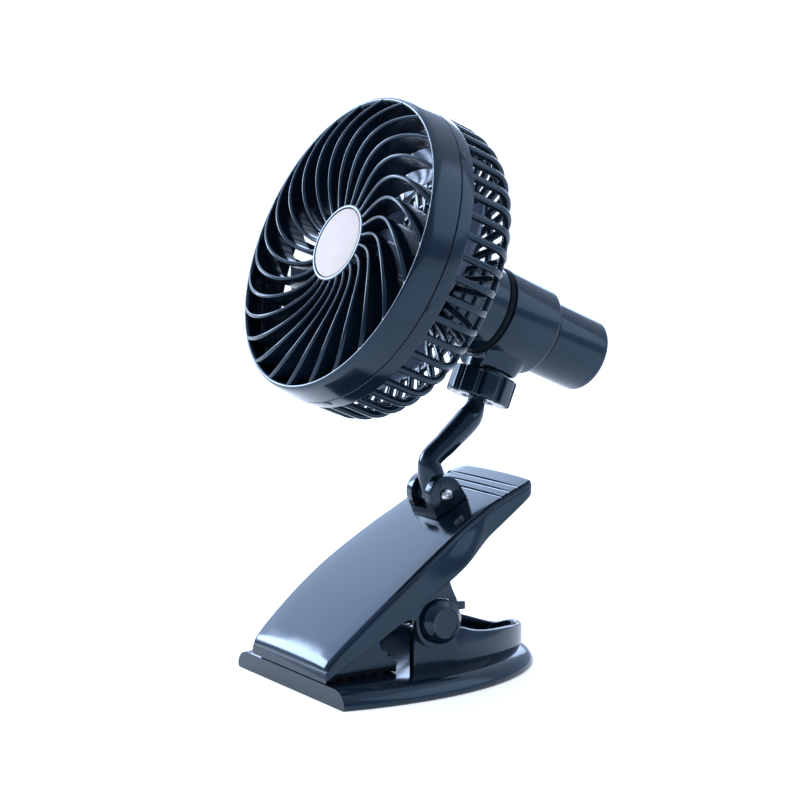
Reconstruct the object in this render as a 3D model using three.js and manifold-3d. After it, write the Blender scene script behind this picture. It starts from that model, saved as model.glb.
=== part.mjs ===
// Clip fan: a round fan head on a battery tube, held by a ball joint and a bent arm on a
// sprung clip. Millimetres, +Z up. The fan blows towards -Y, +X is the near side. The origin
// is on the underside of the lower jaw, which stands on the table.
import * as THREE from 'three';
import * as BufferGeometryUtils from 'three/addons/utils/BufferGeometryUtils.js';
import Module from 'manifold-3d';

// ---------------------------------------------------------------- driving dimensions
// Clearances
const GAP = 0.3;              // between pieces that touch
const RUN = 0.35;             // between pieces that turn on each other

// Fan head. Places along its axis are counted backwards from the plane of the front rim.
const HEAD_Y = -30.25;        // centre of the front rim
const HEAD_Z = 173.05;
const HEAD_TILT = 22.84;      // degrees that the fan looks up
const RIM_R = 60;             // outer radius at the front rim
const BAND_FLARE = 1.7;       // the band widens by this towards the seam
const BAND_R = RIM_R + BAND_FLARE;
const BAND_WALL = 2.4;
const SEAM_L = 11.2;          // seam between the front and the rear guard
const BAND_TAIL = 6.4;        // closed band behind the seam
const BAND_END_L = SEAM_L + BAND_TAIL;
const CATCHES = 6;            // snap catches round the seam

const VANES = 24;
const VANE_T = 1.6;
const VANE_SWEEP = 44.5;      // degrees from the hub to the rim
const VANE_BULGE = 5.0;       // how far the vanes stand forward at mid radius
const VANE_INSET = 3.0;       // rear edge of the vanes, in front of the seam
const VANE_BACK_L = SEAM_L - VANE_INSET;
const BADGE_R = 14.1;
const BADGE_T = 1.2;
const HUB_RIM = 1.7;          // ring round the badge
const HUB_R = BADGE_R + HUB_RIM;
const HUB_L = 0.9;            // front edge of the hub

const BARS = 46;
const BAR_W = 2.6;
const BAR_T = 2.4;
const BAR_STRAIGHT = 11.4;    // straight stretch of the bars behind the band
const SHOULDER_L = BAND_END_L + BAR_STRAIGHT;
const SHOULDER_DEPTH = 14.5;  // depth of the round shoulder
const SHOULDER_DROP = 15.5;   // radius lost round it
const BACK_L = SHOULDER_L + SHOULDER_DEPTH;
const HOOP_RADII = [42, 34];  // rings that tie the bars on the back
const HOOP_W = 2.2;
const BOSS_R = 27;            // centre disc of the rear guard
const BOSS_STEP = 0.8;        // it stands this far behind the bars
const GUARD_SCREWS = 3;       // they hold the neck to the centre disc
const GUARD_SCREW_R = 1.3;
const GUARD_SCREW_RING = 22;  // radius that they stand on
const GUARD_SCREW_HEAD_R = 2.4;

const BLADES = 5;
const TIP_ROOM = 5.5;         // from the blade tips to the rim radius
const BLADE_R = RIM_R - TIP_ROOM;
const BLADE_T = 1.5;
const BLADE_SET = 4.3;        // front of the blades behind the vanes
const BLADE_L0 = VANE_BACK_L + BLADE_SET;
const BLADE_DEPTH = 19;
const IMP_HUB_R = 16.5;
const IMP_WALL = 2.0;
const MOTOR_R = 12;
const MOTOR_LEN = 22;
const MOTOR_L = BLADE_L0 + BLADE_DEPTH;
const SHAFT_R = 1.0;
const CUP_WALL = 2.0;         // cup round the motor's back
const CUP_R = MOTOR_R + GAP + CUP_WALL;
const CUP_L = MOTOR_L + 4.5;  // its front edge

// Battery tube behind the head
const NECK_FLANGE_L = BACK_L + BOSS_STEP + GAP;
const NECK_FLANGE_T = 2.4;
const NECK_R = 18.2;
const NECK_LEN = 29.6;
const NECK_END_L = NECK_FLANGE_L + NECK_LEN;
const TUBE_WALL = 2.1;
const SEAL_W = 2.8;           // rubber ring in the groove
const SEAL_GAP = 0.15;        // beside the rubber ring
const SEAL_R = NECK_R + 0.3;
const TUBE_R = NECK_R + 0.7;
const TUBE_L = NECK_END_L + SEAL_W + 2 * SEAL_GAP;
const CONTACT_ROOM = 6.0;     // between the motor and the cell
const CELL_R = 9.2;           // battery cell
const CELL_LEN = 65;
const CELL_L = MOTOR_L + MOTOR_LEN + CONTACT_ROOM;
const END_ROOM = 6.9;         // from the cell to the end of the tube
const END_L = CELL_L + CELL_LEN + END_ROOM;
const END_LEN = 27.6;         // length of the end tube
const STEP_L = END_L - END_LEN;
const BEVEL_LEN = 3.0;        // taper in front of the end tube
const BEVEL_L = STEP_L - BEVEL_LEN;
const END_R = 15.6;
const END_WALL = 2.1;
const CRADLE_WALL = 1.6;
const CONTACT_T = 0.8;        // brass plate in front of the cell
const HOLDER_T = 1.6;         // insulating disc behind the motor
const CONTACT_L = CELL_L - 1.2 - GAP - CONTACT_T;
const HOLDER_L = CONTACT_L - GAP - HOLDER_T;
const BOARD_T = 1.4;
const BOARD_X = 5.2 + BOARD_T / 2 - TUBE_R;   // middle of the upright circuit board
const BOARD_H = 15;
const BOARD_L0 = TUBE_L + 2.2;
const BOARD_L1 = BEVEL_L - 1.3;
const BUTTON_L = TUBE_L + 7.2;
const BUTTON_R = 3.9;
const BUTTON_PROUD = 1.1;
const BUTTON_TRAVEL = 0.8;
const LAMP_L = TUBE_L + 12;
const LAMP_Z = 6.0;
const LAMP_R = 1.2;
const PORT_L = TUBE_L + 17.2;
const PORT_W = 8.2;
const PORT_H = 3.1;

// Ball joint under the tube: L is along the fan axis, RHO is the distance below it
const BALL_R = 6.5;
const BALL_L = TUBE_L + 9.7;
const SADDLE_DEPTH = 3.5;     // below the tube
const SADDLE_RHO = TUBE_R + SADDLE_DEPTH;
const SADDLE_HALF_L = 11.2;
const SADDLE_HALF_W = 10.4;
const BALL_DROP = 7.6;        // centre of the ball below the saddle
const BALL_RHO = SADDLE_RHO + BALL_DROP;
const SEAT_WALL = 1.0;        // plastic seat between ball and socket
const SOCKET_WALL = 1.3;
const SOCKET_R = BALL_R + SEAT_WALL + 2 * GAP + SOCKET_WALL;
const SOCKET_END = 3.4;       // how far the socket reaches past the ball's centre
const NUT_R = 13.6;           // over the lobes
const NUT_ROOT_R = 12.1;
const NUT_LOBES = 9;
const NUT_TOP_RHO = SADDLE_RHO + 1.0;
const NUT_FLOOR = 0.85;       // of the nut, under the socket
const NUT_H = BALL_RHO + SOCKET_END + RUN + NUT_FLOOR - NUT_TOP_RHO;
const NUT_MOUTH_R = 6.9;

// Arm and its bracket
const TILT_Y = 15.6;          // hinge of the arm
const TILT_Z = 71.1;
const BARREL_R = 5.4;
const EAR_OUT = 8.9;          // outer faces of the bracket's ears
const EAR_T = 4.0;
const BARREL_HALF = EAR_OUT - EAR_T - GAP;
const NECK_ARM_R = 3.6;       // radius just under the ball
const EAR_R = 7.7;
const BRACKET_FOOT = 8.4;     // half the length of its foot
const SCREW_R = 1.5;
const SCREW_HEAD_R = 2.7;
const SCREW_HEAD_T = 1.7;
const FOOT_SCREW_R = 1.25;
const FOOT_SCREW_SPACING = 12.4;

// Clip
const PIVOT_Y = -2.0;         // hinge of the jaws
const PIVOT_Z = 26.4;
const PIVOT_BOSS_R = 8.8;
const JAW_FRONT_Y = -52.3;
const JAW_REAR_Y = 46.6;
const JAW_FRONT_Z = 14;       // top of the upper jaw at its two ends
const JAW_REAR_Z = 77.4;
const JAW_WALL = 2.4;
const JAW_EDGE_R = 2.0;       // rounding along the upper jaw's edges
const JAW_CROWN = 0.6;
const JAW_SKIRT = 14.6;       // depth of the upper jaw's side walls at their deepest
const CHEEK_OUT = 28.4;       // outer faces of the lower jaw's cheeks
const CHEEK_T = 3.0;
const JAW_EAR_IN = CHEEK_OUT + GAP;
const JAW_EAR_T = 2.3;
const JAW_EAR_OUT = JAW_EAR_IN + JAW_EAR_T;
const JAW_EAR_RIM = 1.85;     // ring of the ear round the boss
const JAW_EAR_R = PIVOT_BOSS_R + RUN + JAW_EAR_RIM;
const PIVOT_BOSS_OUT = JAW_EAR_OUT + 4.4;   // outer face of the round bosses
const PAD_HALF = 26.2;
const PAD_T = 2.6;
const PAD_REAR_Y = -19.2;
const GRIP_STEPS = 3;
const THUMB_GROOVES = 3;
const THUMB_PITCH = 3.9;
const THUMB_HALF = 22.5;      // half the length of a groove
const THUMB_Y = JAW_REAR_Y - 17.8;

const BASE_FRONT_Y = JAW_FRONT_Y + GAP;
const BASE_MID_Y = -15;       // widest place
const BASE_HALF = 46;
const BASE_REAR_Y = 58.2;
const BASE_T = 7.3;
const RIM_ROUND = 7.4;        // how far the rounded rim reaches inwards
const BASE_SKIN = 2.5;
const PAD_Z0 = BASE_T + 0.4;  // lowest ribs of the upper pad
const PAD_POCKET = 0.9;       // the lower pad lies this deep in the base
const CHEEK_FRONT_Y = -15.6;
const CHEEK_TOP_Z = 23.0;
const CHEEK_BEND_Y = 9;       // where the cheeks start to close behind
const TRAY_REAR_Y = BASE_REAR_Y - 1.2;
const TRAY_HIGH_Z = 22.0;     // wall behind the cheeks
const TRAY_LOW_Z = 12.0;      // dip beside the rear lip
const TRAY_LIP_Z = 13.8;      // rear lip
const PIN_R = 2.0;
const SLEEVE_R = 4.7;
const WIRE_R = 0.9;
const COILS = 6;
const COIL_R = 6.0;           // middle of the wire
const COIL_PITCH = 2.6;
const SPRING_FLOOR_Y = 24;    // where the spring's legs rest
const SPRING_ROOF_Y = 15;

const ROUND = 22;             // facets of the plain round pieces

// ---------------------------------------------------------------- helpers
const wasm = await Module();
wasm.setup();
const rad = THREE.MathUtils.degToRad;
const v2 = (x, y) => new THREE.Vector2(x, y);
const v3 = (x, y, z) => new THREE.Vector3(x, y, z);

function solid(geometry) {
  const bare = geometry.clone();
  for (const name of ['normal', 'uv']) bare.deleteAttribute(name);
  const merged = BufferGeometryUtils.mergeVertices(bare, 1e-4);
  const mesh = new wasm.Mesh({
    numProp: 3,
    vertProperties: new Float32Array(merged.attributes.position.array),
    triVerts: new Uint32Array(merged.index.array),
  });
  return new wasm.Manifold(mesh);
}

function toGeometry(manifold) {
  const mesh = manifold.getMesh();
  const geometry = new THREE.BufferGeometry();
  geometry.setAttribute('position', new THREE.BufferAttribute(mesh.vertProperties, 3));
  geometry.setIndex(new THREE.BufferAttribute(mesh.triVerts, 1));
  return geometry;
}

const join = (list) => list.reduce((sum, item) => sum.add(item));
const place = (geometry, matrix) => geometry.clone().applyMatrix4(matrix);
const shift = (x, y, z) => new THREE.Matrix4().makeTranslation(x, y, z);

// a ring of revolution about the Y axis from a closed outline of [radius, place] pairs
function revolve(outline, segments = 64) {
  const points = outline.map(([r, y]) => v2(r, y));
  points.push(points[0].clone());
  return new THREE.LatheGeometry(points, segments);
}

// a full body of revolution: the outline starts and ends on the axis
function turned(outline, segments = 32) {
  return new THREE.LatheGeometry(outline.map(([r, y]) => v2(r, y)), segments);
}

// makes a lathe point its faces outwards whichever way its outline runs
function outward(geometry) {
  const g = geometry.index ? geometry.toNonIndexed() : geometry;
  const p = g.attributes.position;
  let volume = 0;
  const [a, b, c] = [v3(), v3(), v3()];
  for (let i = 0; i < p.count; i += 3) {
    a.fromBufferAttribute(p, i);
    b.fromBufferAttribute(p, i + 1);
    c.fromBufferAttribute(p, i + 2);
    volume += a.dot(b.cross(c));
  }
  if (volume > 0) return geometry;
  const flipped = g.clone();
  const q = flipped.attributes.position;
  for (let i = 0; i < q.count; i += 3) {
    b.fromBufferAttribute(p, i + 1);
    c.fromBufferAttribute(p, i + 2);
    q.setXYZ(i + 1, c.x, c.y, c.z);
    q.setXYZ(i + 2, b.x, b.y, b.z);
  }
  flipped.deleteAttribute('normal');
  return flipped;
}

const ring = (outline, segments) => solid(outward(revolve(outline, segments)));
const spun = (outline, segments) => solid(outward(turned(outline, segments)));

function box(x0, x1, y0, y1, z0, z1) {
  const g = new THREE.BoxGeometry(x1 - x0, y1 - y0, z1 - z0);
  return solid(place(g, shift((x0 + x1) / 2, (y0 + y1) / 2, (z0 + z1) / 2)));
}

// round bar along X
function barX(radius, x0, x1, y, z, segments = 32) {
  const g = new THREE.CylinderGeometry(radius, radius, x1 - x0, segments);
  g.rotateZ(Math.PI / 2);
  return solid(place(g, shift((x0 + x1) / 2, y, z)));
}

// closed tube of sections: rings is a list of equally long lists of Vector3
function loft(rings) {
  const n = rings[0].length;
  const positions = [];
  const push = (a, b, c) => positions.push(a.x, a.y, a.z, b.x, b.y, b.z, c.x, c.y, c.z);
  for (let i = 0; i + 1 < rings.length; i += 1) {
    for (let j = 0; j < n; j += 1) {
      const k = (j + 1) % n;
      push(rings[i][j], rings[i][k], rings[i + 1][k]);
      push(rings[i][j], rings[i + 1][k], rings[i + 1][j]);
    }
  }
  cap(rings[0], push, true);
  cap(rings[rings.length - 1], push, false);
  const g = new THREE.BufferGeometry();
  g.setAttribute('position', new THREE.Float32BufferAttribute(positions, 3));
  return outward(g);
}

// closes one end of a loft, triangulated in the plane that the ring lies nearest to
function cap(points, push, reverse) {
  const normal = v3();
  points.forEach((p, i) => {
    const q = points[(i + 1) % points.length];
    normal.add(v3().crossVectors(p, q));
  });
  const size = normal.toArray().map(Math.abs);
  const drop = size.indexOf(Math.max(...size));
  const flat = points.map((p) => {
    const keep = p.toArray().filter((_, i) => i !== drop);
    return v2(keep[0], keep[1]);
  });
  const flip = THREE.ShapeUtils.isClockWise(flat);
  const order = points.map((_, i) => (flip ? points.length - 1 - i : i));
  const faces = THREE.ShapeUtils.triangulateShape(order.map((i) => flat[i]), []);
  for (const face of faces) {
    const [a, b, c] = face.map((i) => points[order[i]]);
    const turn = v3().crossVectors(v3().subVectors(b, a), v3().subVectors(c, a));
    const agrees = turn.dot(normal) > 0;
    if (agrees === reverse) push(a, c, b);
    else push(a, b, c);
  }
}

// sweep of round sections along a path that lies in the YZ plane
function swept(path, radii, sides) {
  const rings = path.map((p, i) => {
    const before = path[Math.max(i - 1, 0)];
    const after = path[Math.min(i + 1, path.length - 1)];
    const along = v3().subVectors(after, before).normalize();
    const across = v3(1, 0, 0);
    const third = v3().crossVectors(along, across).normalize();
    return Array.from({ length: sides }, (_, j) => {
      const a = (2 * Math.PI * j) / sides;
      return p.clone()
        .addScaledVector(across, radii[i] * Math.cos(a))
        .addScaledVector(third, radii[i] * Math.sin(a));
    });
  });
  return loft(rings);
}

// cage of revolution about Y: bars of one width all round, tied by full rings. A station
// holds the cage's outer and inner [radius, place]; ringed says that the stretch from it to
// the next station is closed all round.
function cage(stations, count, width) {
  const positions = [];
  const point = ([r, y], sector, side) => {
    const a = (2 * Math.PI * sector) / count + (side * width) / 2 / r;
    return v3(r * Math.sin(a), y, r * Math.cos(a));
  };
  const quad = (a, b, c, d) => {
    for (const p of [a, b, c, a, c, d]) positions.push(p.x, p.y, p.z);
  };
  const last = stations.length - 1;
  const cell = (sector, isBar) => {
    const at = (j) => {
      const { outer, inner } = stations[j];
      const ends = isBar ? [[sector, -1], [sector, 1]] : [[sector, 1], [sector + 1, -1]];
      const [[s0, e0], [s1, e1]] = ends;
      return [point(outer, s0, e0), point(outer, s1, e1), point(inner, s0, e0),
        point(inner, s1, e1)];
    };
    const filled = (j) => j >= 0 && j < last && (isBar || stations[j].ringed);
    for (let j = 0; j <= last; j += 1) {
      const [A, B, a, b] = at(j);
      if (filled(j) && !filled(j - 1)) quad(B, A, a, b);
      if (!filled(j) && filled(j - 1)) quad(A, B, b, a);
      if (filled(j)) {
        const [A2, B2, a2, b2] = at(j + 1);
        quad(A, B, B2, A2);
        quad(a, a2, b2, b);
        if (!stations[j].ringed) {
          quad(A, A2, a2, a);
          quad(B2, B, b, b2);
        }
      }
    }
  };
  for (let sector = 0; sector < count; sector += 1) {
    cell(sector, true);
    cell(sector, false);
  }
  const g = new THREE.BufferGeometry();
  g.setAttribute('position', new THREE.Float32BufferAttribute(positions, 3));
  return solid(outward(g));
}

// prism along X from an outline of [y, z] pairs
function prismX(outline, x0, x1) {
  const at = (x) => outline.map(([y, z]) => v3(x, y, z));
  return solid(loft([at(x0), at(x1)]));
}

const arc = (cy, cz, r, from, to, steps) => Array.from({ length: steps + 1 }, (_, i) => {
  const a = rad(from + ((to - from) * i) / steps);
  return [cy + r * Math.cos(a), cz + r * Math.sin(a)];
});

// ---------------------------------------------------------------- materials
const plastic = (color, roughness) => new THREE.MeshStandardMaterial(
  { color, roughness, metalness: 0 });
const metal = (color, roughness) => new THREE.MeshStandardMaterial(
  { color, roughness, metalness: 1 });
const GLOSS = 0x10161f;
const finish = {
  gloss: () => plastic(GLOSS, 0.16),
  inner: () => plastic(0x1a2028, 0.45),
  white: () => plastic(0xf1f2f6, 0.25),
  rubber: () => plastic(0x111317, 0.8),
  steel: () => metal(0xc9ccd1, 0.3),
  brass: () => metal(0xb9974d, 0.35),
  board: () => plastic(0x1f6b3a, 0.5),
  cell: () => plastic(0x2f6fb3, 0.4),
  lamp: () => plastic(0xd9e6f2, 0.1),
};

function piece(name, manifold, material) {
  const mesh = new THREE.Mesh(toGeometry(manifold), material);
  mesh.name = name;
  return mesh;
}

// ---------------------------------------------------------------- front guard
function frontBand() {
  const inner = BAND_R - BAND_WALL;
  return ring([
    [RIM_R - 2.2, 0.6],
    [RIM_R - 1.2, -0.25],
    [RIM_R - 0.2, 0.0],
    [RIM_R + 0.4, 1.4],
    [BAND_R, SEAM_L],
    [inner, SEAM_L],
    [inner, VANE_BACK_L + 0.3],
    [inner - 0.7, VANE_BACK_L],
  ], 2 * VANES);
}

// front edge of a vane: forward of the rim plane at mid radius, back at the hub and rim
function vaneFront(share) {
  const straight = HUB_L * (1 - share);
  return straight - VANE_BULGE * Math.sin(Math.PI * share ** 1.5);
}

function vane() {
  const inner = HUB_R - 1.2;
  const outer = BAND_R - BAND_WALL - 0.3;
  const steps = 6;
  const rings = [];
  for (let i = 0; i <= steps; i += 1) {
    const share = i / steps;
    const r = inner + (outer - inner) * share;
    const turn = rad(VANE_SWEEP) * share ** 1.43;
    const slope = (rad(VANE_SWEEP) * 1.43 * share ** 0.43 * r) / (outer - inner);
    const half = (VANE_T / 2) * Math.hypot(1, slope);
    const front = vaneFront(share) + 0.15;
    const section = [
      [-half, VANE_BACK_L], [-half, front + 0.5], [0, front], [half, front + 0.5],
      [half, VANE_BACK_L],
    ];
    rings.push(section.map(([s, y]) => {
      const a = turn + s / r;
      return v3(r * Math.sin(a), y, r * Math.cos(a));
    }));
  }
  return loft(rings);
}

function frontGuard() {
  const blade = vane();
  const vanes = Array.from({ length: VANES }, (_, i) => solid(
    place(blade, new THREE.Matrix4().makeRotationY((2 * Math.PI * i) / VANES))));
  const floor = HUB_L + BADGE_T + GAP;
  const hub = spun([
    [0, floor], [BADGE_R + GAP, floor], [BADGE_R + GAP, HUB_L], [HUB_R - 0.4, HUB_L],
    [HUB_R, HUB_L + 0.5], [HUB_R, VANE_BACK_L], [0, VANE_BACK_L],
  ], VANES);
  return join([frontBand(), hub, ...vanes]);
}

function badge() {
  const back = HUB_L + BADGE_T;
  return spun([[0, HUB_L - 0.5], [BADGE_R - 0.5, HUB_L], [BADGE_R, HUB_L + 0.4],
    [BADGE_R, back], [0, back]], VANES);
}

// ---------------------------------------------------------------- rear guard
// stations from the seam over the round shoulder to the centre disc
function rearStations() {
  const inner = BAND_R - BAND_WALL;
  const station = (r, y, angle, ringed) => {
    const a = rad(angle);
    return { outer: [r, y], inner: [r - BAR_T * Math.cos(a), y - BAR_T * Math.sin(a)], ringed };
  };
  const round = [30, 60].map((angle) => {
    const a = rad(angle);
    const swell = 1 + 0.03 * Math.sin(2 * a);
    return station(BAND_R - SHOULDER_DROP * (1 - Math.cos(a) * swell),
      SHOULDER_L + SHOULDER_DEPTH * Math.sin(a) * swell, angle, false);
  });
  const stations = [
    { outer: [BAND_R, SEAM_L + GAP], inner: [inner - 0.6, SEAM_L + GAP], ringed: true },
    { outer: [BAND_R, BAND_END_L], inner: [inner - 0.6, BAND_END_L], ringed: false },
    station(BAND_R, SHOULDER_L, 0, false),
    ...round,
    station(BAND_R - SHOULDER_DROP, BACK_L, 90, false),
  ];
  for (const r of HOOP_RADII) {
    stations.push(station(r + HOOP_W / 2, BACK_L, 90, true));
    stations.push(station(r - HOOP_W / 2, BACK_L, 90, false));
  }
  stations.push(
    { outer: [BOSS_R, BACK_L + BOSS_STEP], inner: [BOSS_R, BACK_L - BAR_T], ringed: true },
    {
      outer: [CUP_R + GAP, BACK_L + BOSS_STEP],
      inner: [CUP_R + GAP, BACK_L - BAR_T],
      ringed: true,
    },
  );
  return stations;
}

// small snap catches that lock the two guards, standing on the rear one beside the seam
function seamCatch(turnDegrees) {
  const bump = new THREE.BoxGeometry(3.4, 2.2, 0.9);
  const spot = shift(0, SEAM_L + GAP + 1.6, BAND_R - 0.1);
  const turn = new THREE.Matrix4().makeRotationY(rad(turnDegrees));
  return solid(place(bump, turn.multiply(spot)));
}

function rearGuard() {
  const catches = Array.from({ length: CATCHES }, (_, i) => seamCatch(
    48 + (360 / CATCHES) * i));
  const fixings = [0, 1, 2].map((i) => guardScrewHole(i));
  return join([cage(rearStations(), BARS, BAR_W), ...catches]).subtract(join(fixings));
}

// three screws hold the neck to the centre disc of the rear guard
function guardSpot(i) {
  const a = rad(90 + (360 / GUARD_SCREWS) * i);
  return [GUARD_SCREW_RING * Math.cos(a), GUARD_SCREW_RING * Math.sin(a)];
}

function guardScrewHole(i) {
  const [x, z] = guardSpot(i);
  const g = new THREE.CylinderGeometry(GUARD_SCREW_R + GAP, GUARD_SCREW_R + GAP, 20, 8);
  return solid(place(g, shift(x, BACK_L, z)));
}

function guardScrew(i) {
  const [x, z] = guardSpot(i);
  const back = NECK_FLANGE_L + NECK_FLANGE_T + GAP;
  const profile = [[0, BACK_L - 2.4], [GUARD_SCREW_R, BACK_L - 2.4], [GUARD_SCREW_R, back],
    [GUARD_SCREW_HEAD_R, back], [GUARD_SCREW_HEAD_R - 0.5, back + 1.5], [0, back + 1.5]];
  return solid(place(outward(turned(profile, 10)), shift(x, 0, z)));
}

// ---------------------------------------------------------------- impeller and motor
function blade() {
  const steps = 4;
  const inner = IMP_HUB_R - 1;
  const rings = [];
  for (let i = 0; i <= steps; i += 1) {
    const share = i / steps;
    const r = inner + (BLADE_R - inner) * share;
    const span = rad(58 - 14 * share) * (1 - 0.25 * share ** 4);
    const lean = rad(16) * share;
    const depth = BLADE_DEPTH * (1 - 0.3 * share);
    const mid = BLADE_L0 + BLADE_DEPTH / 2;
    const across = 3;
    const top = [];
    const bottom = [];
    for (let j = 0; j <= across; j += 1) {
      const u = j / across - 0.5;
      const a = lean + span * u;
      const y = mid - depth * u + 2.2 * (1 - 4 * u * u);
      const thin = (BLADE_T / 2) * (1 - 0.5 * Math.abs(2 * u));
      top.push(v3(r * Math.sin(a), y - thin, r * Math.cos(a)));
      bottom.unshift(v3(r * Math.sin(a), y + thin, r * Math.cos(a)));
    }
    rings.push([...top, ...bottom]);
  }
  return loft(rings);
}

function impeller() {
  const wing = blade();
  const blades = Array.from({ length: BLADES }, (_, i) => solid(
    place(wing, new THREE.Matrix4().makeRotationY((2 * Math.PI * i) / BLADES))));
  const front = BLADE_L0 - 1.5;
  const back = BLADE_L0 + BLADE_DEPTH - 1;
  const bore = SHAFT_R + 0.05;
  const shell = spun([
    [0, front], [IMP_HUB_R - 6, front], [IMP_HUB_R - 1.5, front + 1.2],
    [IMP_HUB_R, front + 4], [IMP_HUB_R, back], [IMP_HUB_R - IMP_WALL, back],
    [IMP_HUB_R - IMP_WALL, front + 5], [IMP_HUB_R - 4, front + 3],
    [4.0, front + 3], [3.6, back - 4], [bore, back - 4], [bore, front + 1.8], [0, front + 1.8],
  ], 18);
  const inside = spun([[0, front + 1.4], [IMP_HUB_R - 1.4, front + 1.4],
    [IMP_HUB_R - 1.4, back + 3], [0, back + 3]], 20);
  const trimmed = join(blades).subtract(inside);
  return shell.add(trimmed);
}

function motorShaft() {
  const front = BLADE_L0 + 0.6;
  return spun([[0, front], [SHAFT_R, front], [SHAFT_R, MOTOR_L - 1.6], [0, MOTOR_L - 1.6]], 16);
}

function motor() {
  const back = MOTOR_L + MOTOR_LEN;
  return spun([
    [0, MOTOR_L - 1.3], [3.1, MOTOR_L - 1.3], [3.1, MOTOR_L], [MOTOR_R - 0.8, MOTOR_L],
    [MOTOR_R, MOTOR_L + 0.8], [MOTOR_R, back - 0.8], [MOTOR_R - 0.8, back],
    [3.1, back], [3.1, back + 1.2], [0, back + 1.2],
  ], 16);
}

// ---------------------------------------------------------------- neck and battery tube
function neck() {
  const flangeBack = NECK_FLANGE_L + NECK_FLANGE_T;
  const inner = NECK_R - TUBE_WALL;
  const shell = ring([
    [MOTOR_R + GAP, CUP_L], [CUP_R, CUP_L], [CUP_R, NECK_FLANGE_L],
    [BOSS_R - 1.2, NECK_FLANGE_L], [BOSS_R - 1.2, flangeBack], [NECK_R + 1.2, flangeBack],
    [NECK_R, flangeBack + 2], [NECK_R, NECK_END_L], [inner, NECK_END_L],
    [inner, HOLDER_L - GAP], [MOTOR_R + GAP, HOLDER_L - GAP],
  ], ROUND);
  return shell.subtract(join([0, 1, 2].map((i) => guardScrewHole(i))));
}

function sealRing() {
  const from = NECK_END_L + SEAL_GAP;
  return ring([
    [NECK_R - 3.4, from], [SEAL_R - 0.4, from], [SEAL_R, from + SEAL_W / 2],
    [SEAL_R - 0.4, from + SEAL_W], [NECK_R - 3.4, from + SEAL_W],
  ], ROUND);
}

const tubeInner = TUBE_R - TUBE_WALL;
const endInner = END_R - END_WALL;

// saddle block under the control tube, which carries the ball socket
function saddle() {
  const outline = (grow, rho) => Array.from({ length: 20 }, (_, i) => {
    const a = (2 * Math.PI * i) / 20;
    const soft = (t) => Math.sign(t) * Math.abs(t) ** 0.7;
    return v3((SADDLE_HALF_W + grow) * soft(Math.cos(a)),
      BALL_L + (SADDLE_HALF_L + grow * 1.2) * soft(Math.sin(a)), -rho);
  });
  const form = solid(loft([outline(3, TUBE_R - 7), outline(1.2, TUBE_R - 1.5),
    outline(0, TUBE_R + 1.4), outline(-2, SADDLE_RHO)]));
  return form.intersect(box(-40, 40, TUBE_L, BEVEL_L + 1, -40, 0));
}

function socket() {
  const ball = spun(arc(0, 0, BALL_R + SEAT_WALL + 2 * GAP, -90, 90, 8), 16);
  const top = -BALL_DROP - 3;
  const barrel = spun([[0, top], [SOCKET_R, top], [SOCKET_R, SOCKET_END - 1],
    [SOCKET_R - 0.7, SOCKET_END], [0, SOCKET_END]], 16);
  const half = 0.8;
  const slots = [0, 1].map((i) => {
    const g = new THREE.BoxGeometry(i ? 2 * half : 40, 20, i ? 40 : 2 * half);
    return solid(place(g, shift(0, SOCKET_END + 10 - 5.5, 0)));
  });
  return onSocketAxis(barrel.subtract(join([ball, ...slots])));
}

function controlTube() {
  const shell = ring([
    [tubeInner, TUBE_L], [TUBE_R - 0.5, TUBE_L], [TUBE_R, TUBE_L + 0.5],
    [TUBE_R, BEVEL_L], [END_R + 0.35, STEP_L], [END_R - END_WALL + 0.2, STEP_L],
    [END_R - END_WALL + 0.2, STEP_L - 1.6], [tubeInner, BEVEL_L - 1.6],
  ], ROUND);
  const bore = spun([[0, TUBE_L - 5], [tubeInner + 0.2, TUBE_L - 5],
    [tubeInner + 0.2, BEVEL_L + 5], [0, BEVEL_L + 5]], ROUND);
  const button = barX(BUTTON_R + GAP, -TUBE_R - 5, -10, BUTTON_L, 0, 16);
  const port = box(-TUBE_R - 5, -10, PORT_L - PORT_W / 2 - GAP, PORT_L + PORT_W / 2 + GAP,
    -PORT_H / 2 - GAP, PORT_H / 2 + GAP);
  const lamp = barX(LAMP_R + 0.1 + GAP / 2, -TUBE_R - 5, -10, LAMP_L, LAMP_Z, 16);
  const body = join([shell, saddle().subtract(bore), socket()]);
  return body.subtract(join([button, port, lamp]));
}

function endTube() {
  const front = STEP_L + GAP;
  return spun([
    [0, END_L], [END_R - 2.2, END_L], [END_R - 0.7, END_L - 0.7],
    [END_R, END_L - 2.2], [END_R, front], [endInner, front],
    [endInner, END_L - END_WALL], [0, END_L - END_WALL],
  ], ROUND);
}

function batteryCell() {
  const back = CELL_L + CELL_LEN;
  return spun([[0, CELL_L - 1.2], [3, CELL_L - 1.2], [3, CELL_L], [CELL_R - 0.5, CELL_L],
    [CELL_R, CELL_L + 0.5], [CELL_R, back - 0.5], [CELL_R - 0.5, back], [0, back]], 16);
}

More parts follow.
